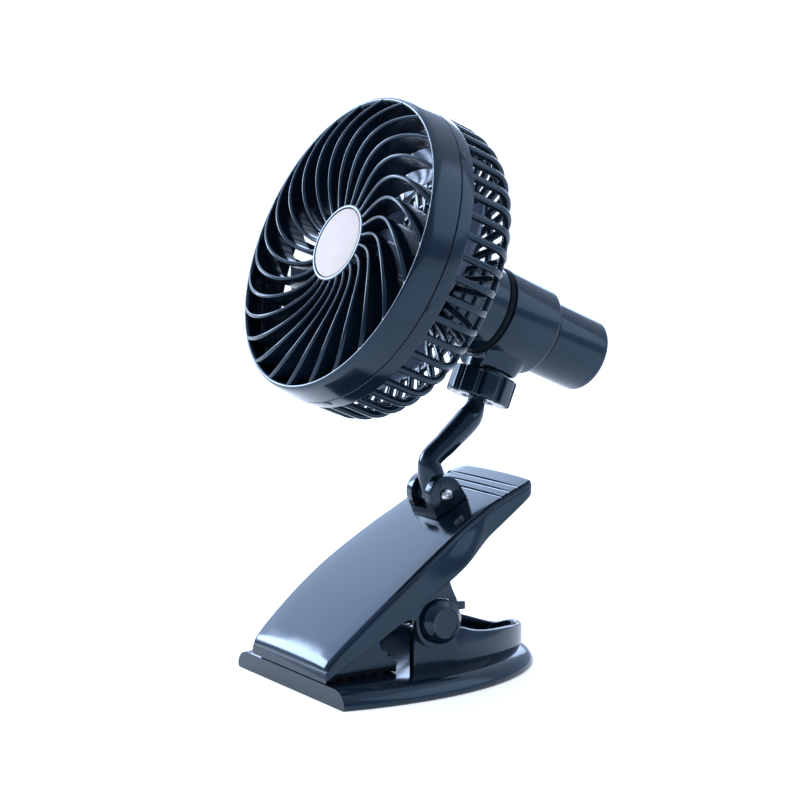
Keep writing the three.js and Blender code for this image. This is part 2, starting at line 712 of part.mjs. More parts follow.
// open trough that holds the cell, standing on two bulkheads that fit the tube
function batteryCradle() {
  const bulkhead = (radius, from, to) => spun(
    [[0, from], [radius, from], [radius, to], [0, to]], 16);
  const back = CELL_L + CELL_LEN + 0.6;
  const wide = CELL_R + GAP + CRADLE_WALL;
  const trough = box(-wide, wide, CELL_L + 2, back, -wide, 2);
  const rear = bulkhead(endInner - GAP, back - 3, back);
  const front = bulkhead(NECK_R - TUBE_WALL - GAP, CELL_L + 5, CELL_L + 8);
  const room = spun([[0, CELL_L - 9], [CELL_R + GAP, CELL_L - 9], [CELL_R + GAP, back + 9],
    [0, back + 9]], 16);
  const core = spun([[0, CELL_L - 9], [endInner - GAP, CELL_L - 9],
    [endInner - GAP, back + 9], [0, back + 9]], 16);
  return join([trough.intersect(core), rear, front]).subtract(room);
}

function contactPlate() {
  const back = CONTACT_L + CONTACT_T;
  return spun([[0, CONTACT_L], [8, CONTACT_L], [8, back], [0, back]], 16);
}

function contactHolder() {
  const back = HOLDER_L + HOLDER_T;
  const rim = NECK_R - TUBE_WALL - GAP;
  return spun([[0, HOLDER_L], [rim, HOLDER_L], [rim, back], [0, back]], 16);
}

function contactSpring() {
  const from = CELL_L + CELL_LEN + GAP;
  const to = END_L - END_WALL - GAP;
  const wire = 0.45;
  const turns = 3;
  const steps = turns * 7;
  const centre = [];
  for (let i = 0; i <= steps; i += 1) {
    const share = i / steps;
    const a = 2 * Math.PI * turns * share;
    const r = 3.0 + 3.0 * share;
    const y = from + wire + (to - from - 2 * wire) * share;
    centre.push(v3(r * Math.cos(a), y, r * Math.sin(a)));
  }
  return solid(coiled(centre, wire, 5, v3(0, 1, 0)));
}

// tube of a few flat sides along a coil whose axis is given
function coiled(centre, wire, sides, axis) {
  const rings = centre.map((p, i) => {
    const before = centre[Math.max(i - 1, 0)];
    const after = centre[Math.min(i + 1, centre.length - 1)];
    const along = v3().subVectors(after, before).normalize();
    const side = v3().crossVectors(along, axis).normalize();
    const up = v3().crossVectors(side, along).normalize();
    return Array.from({ length: sides }, (_, j) => {
      const a = (2 * Math.PI * j) / sides;
      return p.clone()
        .addScaledVector(side, wire * Math.cos(a))
        .addScaledVector(up, wire * Math.sin(a));
    });
  });
  return loft(rings);
}

function circuitBoard() {
  const half = BOARD_H / 2;
  const outer = BOARD_X - BOARD_T / 2;
  const board = box(outer, BOARD_X + BOARD_T / 2, BOARD_L0, BOARD_L1, -half, half);
  const key = box(outer - 1.3, outer + 0.2, BUTTON_L - 2.2, BUTTON_L + 2.2, -2.2, 2.2);
  const chip = box(outer - 0.9, outer + 0.2, LAMP_L - 1.6, LAMP_L + 1.6, -6.6, -3.4);
  return join([board, key, chip]);
}

function powerButton() {
  const outer = -TUBE_R - BUTTON_PROUD;
  const keyTop = BOARD_X - BOARD_T / 2 - 1.3;
  const inner = keyTop - BUTTON_TRAVEL - 0.15;
  const cap = barX(BUTTON_R, outer + 0.5, inner, BUTTON_L, 0, 16);
  const face = barX(BUTTON_R - 0.5, outer, outer + 0.6, BUTTON_L, 0, 16);
  return join([cap, face]);
}

function chargePort() {
  const inner = BOARD_X - BOARD_T / 2 - GAP;
  const outer = -TUBE_R + 0.5;
  const [w, h] = [PORT_W / 2, PORT_H / 2];
  const wall = 0.5;
  const shell = box(outer, inner, PORT_L - w, PORT_L + w, -h, h);
  const mouth = box(outer - 1, inner - 1.2, PORT_L - w + wall, PORT_L + w - wall, -h + wall,
    h - wall);
  const tongue = box(outer + 0.8, inner - 0.5, PORT_L - 2.8, PORT_L + 2.8, -0.35, 0.35);
  return shell.subtract(mouth).add(tongue);
}

function chargeLamp() {
  const inner = BOARD_X - BOARD_T / 2 - GAP;
  const outer = -Math.sqrt(TUBE_R ** 2 - LAMP_Z ** 2) - 0.2;
  return barX(LAMP_R, outer, inner, LAMP_L, LAMP_Z, 16);
}

// ---------------------------------------------------------------- ball joint
// pieces on the socket's own axis, written with +Y pointing down and away from the fan axis
function onSocketAxis(manifold) {
  const axis = shift(0, BALL_L, -BALL_RHO)
    .multiply(new THREE.Matrix4().makeRotationX(-Math.PI / 2));
  return solid(place(toGeometry(manifold), axis));
}

function ballSeat() {
  const inner = BALL_R + GAP;
  const outer = inner + SEAT_WALL;
  const low = 60;
  const reach = 22;
  return onSocketAxis(ring([
    ...arc(0, 0, inner, -low, reach, 4), ...arc(0, 0, outer, reach, -low, 4),
  ], 16));
}

function nutOutline(grow) {
  const points = [];
  const tooth = 360 / NUT_LOBES;
  const root = NUT_ROOT_R + grow;
  const tip = NUT_R + grow;
  for (let i = 0; i < NUT_LOBES; i += 1) {
    const mid = (i + 0.5) * tooth;
    for (const [da, r] of [[-0.44, root], [-0.36, tip], [0.36, tip], [0.44, root]]) {
      const a = rad(mid + da * tooth);
      points.push([r * Math.cos(a), r * Math.sin(a)]);
    }
  }
  return points;
}

function ringNut() {
  const top = NUT_TOP_RHO - BALL_RHO;
  const levels = [[-0.8, top], [0, top + 0.8], [0, top + NUT_H - 0.8], [-0.8, top + NUT_H]];
  const body = solid(loft(levels.map(([grow, y]) => nutOutline(grow)
    .map(([x, z]) => v3(x, y, z)))));
  const thread = SOCKET_R + RUN;
  const floor = SOCKET_END + RUN;
  const bore = spun([
    [0, top - 1], [thread, top - 1], [thread, floor - 0.6], [thread - 0.8, floor],
    [NUT_MOUTH_R - 0.5, floor], [NUT_MOUTH_R + 1.2, top + NUT_H + 1], [0, top + NUT_H + 1],
  ], 16);
  return onSocketAxis(body.subtract(bore));
}

// ---------------------------------------------------------------- places in the whole part
const tilt = rad(HEAD_TILT);
const headMatrix = new THREE.Matrix4().makeTranslation(0, HEAD_Y, HEAD_Z)
  .multiply(new THREE.Matrix4().makeRotationX(-tilt));
const ballCentre = v3(0, BALL_L, -BALL_RHO).applyMatrix4(headMatrix);
const downAxis = v3(0, 0, -1).transformDirection(headMatrix);

// ---------------------------------------------------------------- arm
function armPath() {
  const start = ballCentre.clone().addScaledVector(downAxis, BALL_R - 2);
  const under = ballCentre.clone().addScaledVector(downAxis, BALL_R + 3.6);
  const rise = ballCentre.z - TILT_Z;
  const run = ballCentre.y - TILT_Y;
  const knots = [start, under,
    v3(0, TILT_Y + run * 0.64, TILT_Z + rise * 0.66),
    v3(0, TILT_Y + run * 0.27, TILT_Z + rise * 0.49),
    v3(0, TILT_Y - run * 0.085, TILT_Z + rise * 0.32),
    v3(0, TILT_Y - run * 0.06, TILT_Z + BARREL_R * 1.25),
    v3(0, TILT_Y, TILT_Z)];
  return new THREE.CatmullRomCurve3(knots, false, 'centripetal');
}

function arm() {
  const steps = 14;
  const curve = armPath();
  const path = curve.getSpacedPoints(steps);
  const radii = path.map((_, i) => {
    const share = i / steps;
    const swell = 4.95 + 0.35 * Math.cos(share * Math.PI * 2.1 - Math.PI * 0.45);
    const start = THREE.MathUtils.smoothstep(share, 0, 0.2);
    const end = THREE.MathUtils.smoothstep(share, 0.7, 0.86);
    const body = swell + (BARREL_R - swell) * end;
    return NECK_ARM_R + (body - NECK_ARM_R) * start;
  });
  const shaft = solid(swept(path, radii, 12));
  const ball = solid(place(new THREE.SphereGeometry(BALL_R, 16, 9),
    shift(ballCentre.x, ballCentre.y, ballCentre.z)));
  const barrel = barX(BARREL_R, -BARREL_HALF, BARREL_HALF, TILT_Y, TILT_Z, 20);
  const keep = EAR_R + 0.6;
  const slab = (side) => barX(keep, side > 0 ? BARREL_HALF : -20, side > 0 ? 20 : -BARREL_HALF,
    TILT_Y, TILT_Z, 20);
  const hole = barX(SCREW_R + 0.1, -20, 20, TILT_Y, TILT_Z, 12);
  return join([shaft, ball, barrel]).subtract(join([slab(1), slab(-1), hole]));
}

// ---------------------------------------------------------------- upper jaw
// knots are shares of the jaw's length and of its rise
const jawKnot = (share, value) => v2(JAW_FRONT_Y + (JAW_REAR_Y - JAW_FRONT_Y) * share, value);
const jawHeight = (share) => JAW_FRONT_Z + (JAW_REAR_Z - JAW_FRONT_Z) * share;
const jawTop = new THREE.SplineCurve([
  jawKnot(0, jawHeight(0)), jawKnot(0.0789, jawHeight(0.1219)),
  jawKnot(0.276, jawHeight(0.3672)), jawKnot(0.5288, jawHeight(0.6312)),
  jawKnot(0.7715, jawHeight(0.8484)), jawKnot(1, jawHeight(1)),
]);
const jawWidth = new THREE.SplineCurve([
  jawKnot(0, JAW_EAR_OUT - 2.3), jawKnot(0.1648, JAW_EAR_OUT - 0.6),
  jawKnot(0.3468, JAW_EAR_OUT), jawKnot(0.549, JAW_EAR_OUT - 2),
  jawKnot(0.7108, JAW_EAR_OUT - 4.1), jawKnot(1, JAW_EAR_OUT - 4.3),
]);

// value of a curve that is written as [y, value], at a given y
function along(curve, y) {
  let [low, high] = [0, 1];
  for (let i = 0; i < 40; i += 1) {
    const mid = (low + high) / 2;
    if (curve.getPoint(mid).x < y) low = mid;
    else high = mid;
  }
  return curve.getPoint((low + high) / 2).y;
}

const topAt = (y) => along(jawTop, y);

function skirtAt(y) {
  const reach = y < PIVOT_Y ? PIVOT_Y - JAW_FRONT_Y + 15.2 : JAW_REAR_Y - PIVOT_Y + 11.9;
  return JAW_SKIRT * (1 - ((y - PIVOT_Y) / reach) ** 2);
}

function halfAt(y) {
  const corner = 4;
  const start = JAW_REAR_Y - corner;
  const base = along(jawWidth, y);
  if (y <= start) return base;
  return base - corner + Math.sqrt(Math.max(corner ** 2 - (y - start) ** 2, 0.3));
}

// one cross-section of the jaw's outer form, lowered and narrowed by the given wall
function jawSection(y, inset, extraDepth) {
  const half = halfAt(y) - inset;
  const top = topAt(y) - inset;
  const bottom = topAt(y) - skirtAt(y) - extraDepth;
  const r = JAW_EDGE_R;
  const right = [[half, bottom], [half, top - r], [half - 0.3 * r, top - 0.3 * r],
    [half - r, top]];
  const left = right.map(([x, z]) => [-x, z]).reverse();
  return [...right, [0, top + JAW_CROWN], ...left].map(([x, z]) => v3(x, y, z));
}

function jawForm(inset, extraDepth, from, to) {
  const steps = 12;
  const ys = Array.from({ length: steps + 1 }, (_, i) => from + ((to - from) * i) / steps);
  if (to > JAW_REAR_Y - 1) ys.splice(steps, 1, to - 2.4, to - 0.8, to);
  return solid(loft(ys.map((y) => jawSection(y, inset, extraDepth))));
}

// the ear hooks over the round boss of the lower jaw from above and in front; the points
// are placed from the hinge, in ear radii
function jawEar(side) {
  const at = ([y, z]) => [PIVOT_Y + JAW_EAR_R * y, PIVOT_Z + JAW_EAR_R * z];
  const front = [[-2, 0.69], [-1.955, -0.073], [-1.591, 0.145], [-1.345, 0.209],
    [-1.145, 0.164]].map(at);
  const rear = [[0.836, 0.436], [0.636, 0.873], [0.473, 1.2], [0.491, 1.418], [0.691, 1.69],
    [0.636, 2.327], [-0.727, 1.69]].map(at);
  const lobe = arc(PIVOT_Y, PIVOT_Z, JAW_EAR_R, 172, 252, 6);
  const bore = arc(PIVOT_Y, PIVOT_Z, PIVOT_BOSS_R + RUN, 252, 22, 14);
  const x0 = side > 0 ? JAW_EAR_IN : -JAW_EAR_OUT;
  const ear = prismX([...front, ...lobe, ...bore, ...rear], x0, x0 + JAW_EAR_T);
  return ear.add(box(x0, x0 + JAW_EAR_T, ...stopLug()));
}

// small block on the ear's rear edge, above the boss
function stopLug() {
  const low = PIVOT_Z + 3.4;
  return [PIVOT_Y + PIVOT_BOSS_R, PIVOT_Y + JAW_EAR_R + 0.9, low, low + 3.2];
}

// solid grip behind the front edge, with steps down to the rubber pad at its rear
function gripBlock() {
  const z0 = PAD_Z0 + PAD_T;
  const rise = 2.0;
  const back = 2.2;
  const steps = [];
  for (let i = 0; i < GRIP_STEPS; i += 1) {
    const y = PAD_REAR_Y - i * back;
    steps.push([y, z0 + i * rise], [y - 0.3, z0 + (i + 1) * rise]);
  }
  const [rear, front] = [PAD_REAR_Y - 10.8, JAW_FRONT_Y + 1.8];
  const roof = [0, 0.4, 0.8, 1].map((share) => {
    const y = rear + (front - rear) * share;
    return [y, topAt(y) - 1.0];
  });
  const shelf = [PAD_REAR_Y - 7.3, z0 + 7.2];
  const inner = PAD_HALF + 0.6;
  return prismX([[JAW_FRONT_Y + 1.2, z0], ...steps, shelf, ...roof], -inner, inner);
}

function thumbGroove(i) {
  const y = THUMB_Y + THUMB_PITCH * i;
  return barX(0.9, -THUMB_HALF, THUMB_HALF, y, topAt(y) + JAW_CROWN, 8);
}

// the bracket's foot stands on the jaw right under the arm's hinge, square to the slope there
const slope = Math.atan2(topAt(TILT_Y + 6) - topAt(TILT_Y), 6);
const jawNormal = v2(-Math.sin(slope), Math.cos(slope));
const jawRun = v2(Math.cos(slope), Math.sin(slope));
function bracketScrewSpot(i) {
  const y = TILT_Y - jawNormal.x * 6.2 + jawRun.x * FOOT_SCREW_SPACING * (i - 0.5);
  return [y, topAt(y)];
}

function upperJaw() {
  const outer = jawForm(0, 0, JAW_FRONT_Y, JAW_REAR_Y);
  const inner = jawForm(JAW_WALL, 8, JAW_FRONT_Y + JAW_WALL, JAW_REAR_Y - 3);
  const grooves = Array.from({ length: THUMB_GROOVES }, (_, i) => thumbGroove(i));
  const lip = JAW_FRONT_Z - 2;
  const lipGroove = box(-60, 60, JAW_FRONT_Y - 1, JAW_FRONT_Y + 0.5, lip, lip + 0.9);
  const holes = [0, 1].map((i) => bracketHole(i));
  return join([outer.subtract(inner), jawEar(1), jawEar(-1), gripBlock()])
    .subtract(join([...grooves, lipGroove, ...holes]));
}

function upperPad() {
  const front = JAW_FRONT_Y + 2.4;
  const rib = 2.6;
  const points = [[front, PAD_Z0 + PAD_T - GAP], [front, PAD_Z0 + 0.6]];
  const count = Math.floor((PAD_REAR_Y - front) / (2 * rib));
  for (let i = 0; i < count; i += 1) {
    const y = front + 1 + i * 2 * rib;
    points.push([y, PAD_Z0], [y + rib, PAD_Z0], [y + rib + 0.4, PAD_Z0 + 0.9],
      [y + 2 * rib - 0.4, PAD_Z0 + 0.9]);
  }
  points.push([PAD_REAR_Y - 0.3, PAD_Z0], [PAD_REAR_Y, PAD_Z0 + 0.4],
    [PAD_REAR_Y, PAD_Z0 + PAD_T - GAP]);
  return prismX(points, -PAD_HALF, PAD_HALF);
}

// ---------------------------------------------------------------- arm bracket
// two screws come up from inside the jaw into the bracket's foot
function tiltedPost(radius, i, from, to) {
  const [y, z] = bracketScrewSpot(i);
  const g = new THREE.CylinderGeometry(radius, radius, to - from, 12);
  const mid = (from + to) / 2;
  const m = shift(0, y + jawNormal.x * mid, z + jawNormal.y * mid)
    .multiply(new THREE.Matrix4().makeRotationX(slope + Math.PI / 2));
  return solid(place(g, m));
}

function bracketHole(i) {
  return tiltedPost(FOOT_SCREW_R + GAP, i, -10, 2.9);
}

function footScrew(i) {
  const head = -JAW_WALL - GAP;
  const shank = tiltedPost(FOOT_SCREW_R, i, head - 0.2, 2.6);
  return shank.add(tiltedPost(FOOT_SCREW_R + 1.05, i, head - 1.4, head));
}

function bracket() {
  const foot = BRACKET_FOOT;
  const rest = v2(TILT_Y, TILT_Z).addScaledVector(jawNormal, -7.4);
  const corner = (s, up) => {
    const p = rest.clone().addScaledVector(jawRun, s).addScaledVector(jawNormal, up);
    return [p.x, p.y];
  };
  const a = THREE.MathUtils.radToDeg(slope);
  const seatUp = Math.max(...[-foot, 0, foot].map((s) => {
    const [y, z] = corner(s, 0);
    return (topAt(y) + JAW_CROWN - z) * Math.cos(slope) + GAP;
  }));
  const outline = [corner(-foot, seatUp), corner(foot, seatUp), corner(foot - 0.4, 3.2),
    ...arc(TILT_Y, TILT_Z, EAR_R, a + 4, a + 176, 10), corner(-foot + 0.4, 3.2)];
  const block = prismX(outline, -EAR_OUT, EAR_OUT);
  const slot = BARREL_HALF + GAP;
  const clear = barX(BARREL_R + 0.4, -slot, slot, TILT_Y, TILT_Z, 20);
  const open = prismX([corner(-20, 5.2), corner(20, 5.2), corner(20, 35), corner(-20, 35)],
    -slot, slot);
  const through = barX(SCREW_R + 0.1, -20, 20, TILT_Y, TILT_Z, 12);
  const nutPocket = barX(3.1 + GAP, -EAR_OUT - 5, -EAR_OUT + 1.6, TILT_Y, TILT_Z, 6);
  const cuts = [clear, open, through, nutPocket, bracketHole(0), bracketHole(1)];
  return block.subtract(join(cuts));
}

function hingeScrew() {
  const under = EAR_OUT + GAP;
  const shank = barX(SCREW_R, -EAR_OUT + 0.2, under + 0.2, TILT_Y, TILT_Z, 12);
  const head = barX(SCREW_HEAD_R, under, under + SCREW_HEAD_T * 0.6, TILT_Y, TILT_Z, 12);
  const crown = barX(SCREW_HEAD_R * 0.8, under, under + SCREW_HEAD_T, TILT_Y, TILT_Z, 12);
  return join([shank, head, crown]);
}

function hingeNut() {
  const inner = -EAR_OUT + 1.6 - GAP;
  const body = barX(3.0, inner - 2.0, inner, TILT_Y, TILT_Z, 6);
  return body.subtract(barX(SCREW_R + 0.05, -30, 30, TILT_Y, TILT_Z, 12));
}

// ---------------------------------------------------------------- lower jaw
// plan outline from the right front corner round the back to the left front corner
function baseOutline(inset) {
  const half = BASE_HALF - inset;
  const start = BASE_FRONT_Y - BASE_MID_Y;
  const front = -2.27 * start;
  const rear = BASE_REAR_Y - BASE_MID_Y - inset;
  const frontSteps = 4;
  const rearSteps = 8;
  const side = [];
  for (let i = 0; i < frontSteps; i += 1) {
    const y = start * (1 - i / frontSteps);
    side.push([half * Math.sqrt(1 - (y / front) ** 2), BASE_MID_Y + y]);
  }
  for (let i = 0; i < rearSteps; i += 1) {
    const a = (Math.PI / 2) * (i / rearSteps);
    side.push([half * Math.cos(a), BASE_MID_Y + rear * Math.sin(a)]);
  }
  const tip = [[0, BASE_MID_Y + rear]];
  return [...side, ...tip, ...side.map(([x, y]) => [-x, y]).reverse()];
}

function baseBody() {
  const t = BASE_T;
  const levels = [[0.8, 0], [0, 0.8], [0, t * 0.3], [RIM_ROUND * 0.08, t * 0.5],
    [RIM_ROUND * 0.3, t * 0.76], [RIM_ROUND * 0.62, t * 0.94], [RIM_ROUND, t]];
  return solid(loft(levels.map(([inset, z]) => baseOutline(inset).map(([x, y]) => v3(x, y, z)))));
}

// outline of the cheeks and of the tray wall that joins them behind
function trayOutline(inset) {
  const half = CHEEK_OUT - inset;
  const reach = TRAY_REAR_Y - CHEEK_BEND_Y - inset;
  const steps = 9;
  const power = 1.75;
  const side = [[half, CHEEK_FRONT_Y - (inset ? 30 : 0)]];
  for (let i = 0; i < steps; i += 1) {
    const a = (Math.PI / 2) * (i / steps);
    side.push([half * Math.cos(a) ** (2 / power),
      CHEEK_BEND_Y + reach * Math.sin(a) ** (2 / power)]);
  }
  return [...side, [0, CHEEK_BEND_Y + reach], ...side.map(([x, y]) => [-x, y]).reverse()];
}

const prismZ = (outline, z0, z1) => solid(loft(
  [z0, z1].map((z) => outline.map(([x, y]) => v3(x, y, z)))));

// heights of the wall as [share of its length behind the cheeks, share from dip to top]
const trayCrest = [[0, 1], [0.15, 0.8], [0.3, 0.63], [0.54, 0.4], [0.73, 0.17], [0.875, 0],
  [0.95, 0.04]];

function trayWall() {
  const wall = prismZ(trayOutline(0), BASE_T - 1, 60).subtract(prismZ(trayOutline(CHEEK_T), 0, 61));
  const low = BASE_T - 2;
  const crest = trayCrest.map(([along, up]) => [
    CHEEK_BEND_Y + (TRAY_REAR_Y - CHEEK_BEND_Y) * along,
    TRAY_LOW_Z + (TRAY_HIGH_Z - TRAY_LOW_Z) * up]);
  const lobe = arc(PIVOT_Y, PIVOT_Z, PIVOT_BOSS_R + 0.6, 195, -15, 12);
  const side = prismX([[CHEEK_FRONT_Y, low], [CHEEK_FRONT_Y, CHEEK_TOP_Z], ...lobe, ...crest,
    [TRAY_REAR_Y - 0.5, TRAY_LIP_Z], [TRAY_REAR_Y + 3, TRAY_LIP_Z], [TRAY_REAR_Y + 3, low]],
  -BASE_HALF, BASE_HALF);
  return wall.intersect(side);
}

function pivotBoss(side) {
  const start = CHEEK_OUT - CHEEK_T;
  const r = PIVOT_BOSS_R;
  const out = PIVOT_BOSS_OUT;
  const g = outward(turned([[0, start], [r, start], [r, out - 1.6], [r - 1.4, out],
    [r - 2.2, out], [r - 2.5, out - 0.4], [0, out - 0.4]], 20));
  g.rotateZ(side > 0 ? -Math.PI / 2 : Math.PI / 2);
  return solid(place(g, shift(0, PIVOT_Y, PIVOT_Z)));
}

// hollow underside with a rib down the middle
function underside() {
  const rib = 4.5;
  const outline = baseOutline(RIM_ROUND + 0.5)
    .map(([x, y]) => [x, Math.max(y, BASE_FRONT_Y + 3)]);
  const pocket = prismZ(outline, -5, BASE_T - BASE_SKIN);
  return pocket.subtract(box(-rib, rib, -90, 90, -6, 20));
}

function lowerJaw() {
  const pocket = box(-PAD_HALF - GAP, PAD_HALF + GAP, JAW_FRONT_Y + 5 - GAP,
    PAD_REAR_Y - 1 + GAP, BASE_T - PAD_POCKET, BASE_T + 5);
  const body = join([baseBody().subtract(underside()), trayWall(), pivotBoss(1), pivotBoss(-1)]);
  const pinHole = barX(PIN_R + 0.1, -CHEEK_OUT - 1.5, CHEEK_OUT + 1.5, PIVOT_Y, PIVOT_Z, 12);
  return body.subtract(join([pocket, pinHole]));
}

function lowerPad() {
  return box(-PAD_HALF, PAD_HALF, JAW_FRONT_Y + 5, PAD_REAR_Y - 1, BASE_T - PAD_POCKET + 0.05,
    BASE_T + 0.1);
}

// ---------------------------------------------------------------- hinge and spring
const pivotPin = () => barX(PIN_R, -CHEEK_OUT - 1.2, CHEEK_OUT + 1.2, PIVOT_Y, PIVOT_Z, 16);

function springSleeve() {
  const half = CHEEK_OUT - CHEEK_T - GAP;
  return barX(SLEEVE_R, -half, half, PIVOT_Y, PIVOT_Z, 16)
    .subtract(barX(PIN_R + 0.15, -60, 60, PIVOT_Y, PIVOT_Z, 12));
}

// wound wire with one leg on the tray's floor and one under the handle
function springPath() {
  const points = [];
  const length = COILS * COIL_PITCH;
  const start = -35;
  const floorEnd = v3(-length / 2, SPRING_FLOOR_Y, BASE_T + WIRE_R + GAP);
  const roofEnd = v3(length / 2, SPRING_ROOF_Y, topAt(SPRING_ROOF_Y) - JAW_WALL - WIRE_R - 0.9);
  points.push(floorEnd);
  const total = COILS * 360 + 130;
  const steps = Math.round((total / 360) * 8);
  for (let i = 0; i <= steps; i += 1) {
    const share = i / steps;
    const a = rad(start - 60 - total * share);
    points.push(v3(-length / 2 + length * share, PIVOT_Y + COIL_R * Math.cos(a),
      PIVOT_Z + COIL_R * Math.sin(a)));
  }
  points.push(roofEnd);
  return points;
}

function torsionSpring() {
  const path = springPath();
  reportGap('torsion_spring', path, WIRE_R);
  return solid(coiled(path, WIRE_R, 5, v3(1, 0, 0)));
}

// least clearance between turns, measured on points along the wire's middle
function reportGap(name, path, wire) {
  const fine = [];
  for (let i = 0; i + 1 < path.length; i += 1) {
    const count = Math.ceil(path[i].distanceTo(path[i + 1]) / 0.6);
    for (let k = 0; k < count; k += 1) fine.push(path[i].clone().lerp(path[i + 1], k / count));
  }
  const skip = Math.ceil((4 * wire) / 0.4) + 4;
  let least = Infinity;
  for (let i = 0; i < fine.length; i += 1) {
    for (let j = i + skip; j < fine.length; j += 1) {
      least = Math.min(least, fine[i].distanceTo(fine[j]));
    }
  }
  console.log(`${name}: least gap between turns ${(least - 2 * wire).toFixed(2)} mm`);
}

// ---------------------------------------------------------------- the whole fan
const fan = new THREE.Group();
const head = new THREE.Group();
head.applyMatrix4(headMatrix);
fan.add(head);

head.add(
  piece('front_grille', frontGuard(), finish.gloss()),
  piece('badge_disc', badge(), finish.white()),
  piece('rear_grille', rearGuard(), finish.gloss()),
  piece('impeller', impeller(), finish.gloss()),
  piece('motor_shaft', motorShaft(), finish.steel()),
  piece('motor', motor(), finish.steel()),
  piece('neck_housing', neck(), finish.gloss()),
  piece('seal_ring', sealRing(), finish.rubber()),
  piece('control_housing', controlTube(), finish.gloss()),
  piece('end_tube', endTube(), finish.gloss()),
  piece('battery_cell', batteryCell(), finish.cell()),
  piece('battery_cradle', batteryCradle(), finish.inner()),
  piece('contact_plate', contactPlate(), finish.brass()),
  piece('contact_holder', contactHolder(), finish.inner()),
  piece('contact_spring', contactSpring(), finish.steel()),
  piece('circuit_board', circuitBoard(), finish.board()),
  piece('power_button', powerButton(), finish.inner()),
  piece('charge_port', chargePort(), finish.steel()),
  piece('charge_lamp', chargeLamp(), finish.lamp()),
  piece('ball_seat', ballSeat(), finish.inner()),
  piece('ring_nut', ringNut(), finish.gloss()),
);
for (let i = 0; i < GUARD_SCREWS; i += 1) {
  head.add(piece(`neck_screw_${i + 1}`, guardScrew(i), finish.steel()));
}

fan.add(
  piece('arm', arm(), finish.gloss()),
  piece('arm_bracket', bracket(), finish.gloss()),
  piece('hinge_screw', hingeScrew(), finish.steel()),
  piece('hinge_nut', hingeNut(), finish.steel()),
  piece('bracket_screw_front', footScrew(0), finish.steel()),
  piece('bracket_screw_rear', footScrew(1), finish.steel()),
  piece('upper_jaw', upperJaw(), finish.gloss()),
  piece('upper_jaw_pad', upperPad(), finish.rubber()),
  piece('lower_jaw', lowerJaw(), finish.gloss()),
  piece('lower_jaw_pad', lowerPad(), finish.rubber()),
  piece('pivot_pin', pivotPin(), finish.steel()),
  piece('spring_sleeve', springSleeve(), finish.inner()),
  piece('torsion_spring', torsionSpring(), finish.steel()),
);

export default fan;
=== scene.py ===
"""A fan on a sprung clip: the pieces, their finishes and a plain studio."""

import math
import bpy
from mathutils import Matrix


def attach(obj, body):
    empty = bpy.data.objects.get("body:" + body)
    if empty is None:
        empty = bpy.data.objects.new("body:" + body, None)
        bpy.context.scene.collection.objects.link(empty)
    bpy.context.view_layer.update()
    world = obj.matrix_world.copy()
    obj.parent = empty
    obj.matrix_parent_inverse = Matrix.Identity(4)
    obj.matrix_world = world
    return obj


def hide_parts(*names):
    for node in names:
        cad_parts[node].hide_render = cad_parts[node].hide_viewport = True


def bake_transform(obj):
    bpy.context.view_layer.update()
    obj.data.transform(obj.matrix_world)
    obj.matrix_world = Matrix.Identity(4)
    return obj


bl_info = {
    "name": "Clip fan",
    "version": (1, 0, 0),
    "blender": (4, 5, 0),
    "location": "3D View > Sidebar > Clip fan",
    "description": "Builds a round fan on a bent arm and a sprung clip",
    "category": "Add Mesh",
}

from types import SimpleNamespace

import bmesh
import bpy
import numpy as np
from bpy.props import FloatProperty, FloatVectorProperty, IntProperty, PointerProperty
from mathutils import Matrix, Vector

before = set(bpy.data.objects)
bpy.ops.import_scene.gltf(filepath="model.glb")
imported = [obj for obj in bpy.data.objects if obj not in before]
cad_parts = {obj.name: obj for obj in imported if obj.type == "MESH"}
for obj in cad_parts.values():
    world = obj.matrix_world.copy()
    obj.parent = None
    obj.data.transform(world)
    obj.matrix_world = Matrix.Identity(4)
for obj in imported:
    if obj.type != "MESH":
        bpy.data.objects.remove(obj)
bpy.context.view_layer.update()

MM = 0.001
TURN = 2 * math.pi
GAP = 0.3                # running clearance between pieces
EDGE_ANGLE = 38          # degrees from which an edge is rounded
SMOOTH_ANGLE = 34        # degrees up to which faces shade as one
BAR_SET_BACK = 0.12      # from the band's face in to the rear bars
PORT_HALF = (4.1, 1.55)  # half of the charging socket, along and across the tube
PAD_REAR = -19.2         # rear edge of the upper pad and of its seat
HINGE_HOLE = 1.6         # radius of the hole for the arm's hinge screw
SPRING_TURNS = 6
SPRING_PITCH = 2.6
ROOM_RADIUS = 9          # metres, floor and backdrop


# ------------------------------------------------------------------ sizes and colours
def length(name, description, millimetres):
    return FloatProperty(name=name, description=description, default=millimetres * MM,
                         unit="LENGTH", precision=5)


def angle(name, description, degrees):
    return FloatProperty(name=name, description=description,
                         default=math.radians(degrees), subtype="ANGLE")


def number(name, description, default):
    return IntProperty(name=name, description=description, default=default, min=1)


def tone(name, description, rgb):
    return FloatVectorProperty(name=name, description=description, default=rgb,
                               subtype="COLOR", size=3, min=0, max=1)


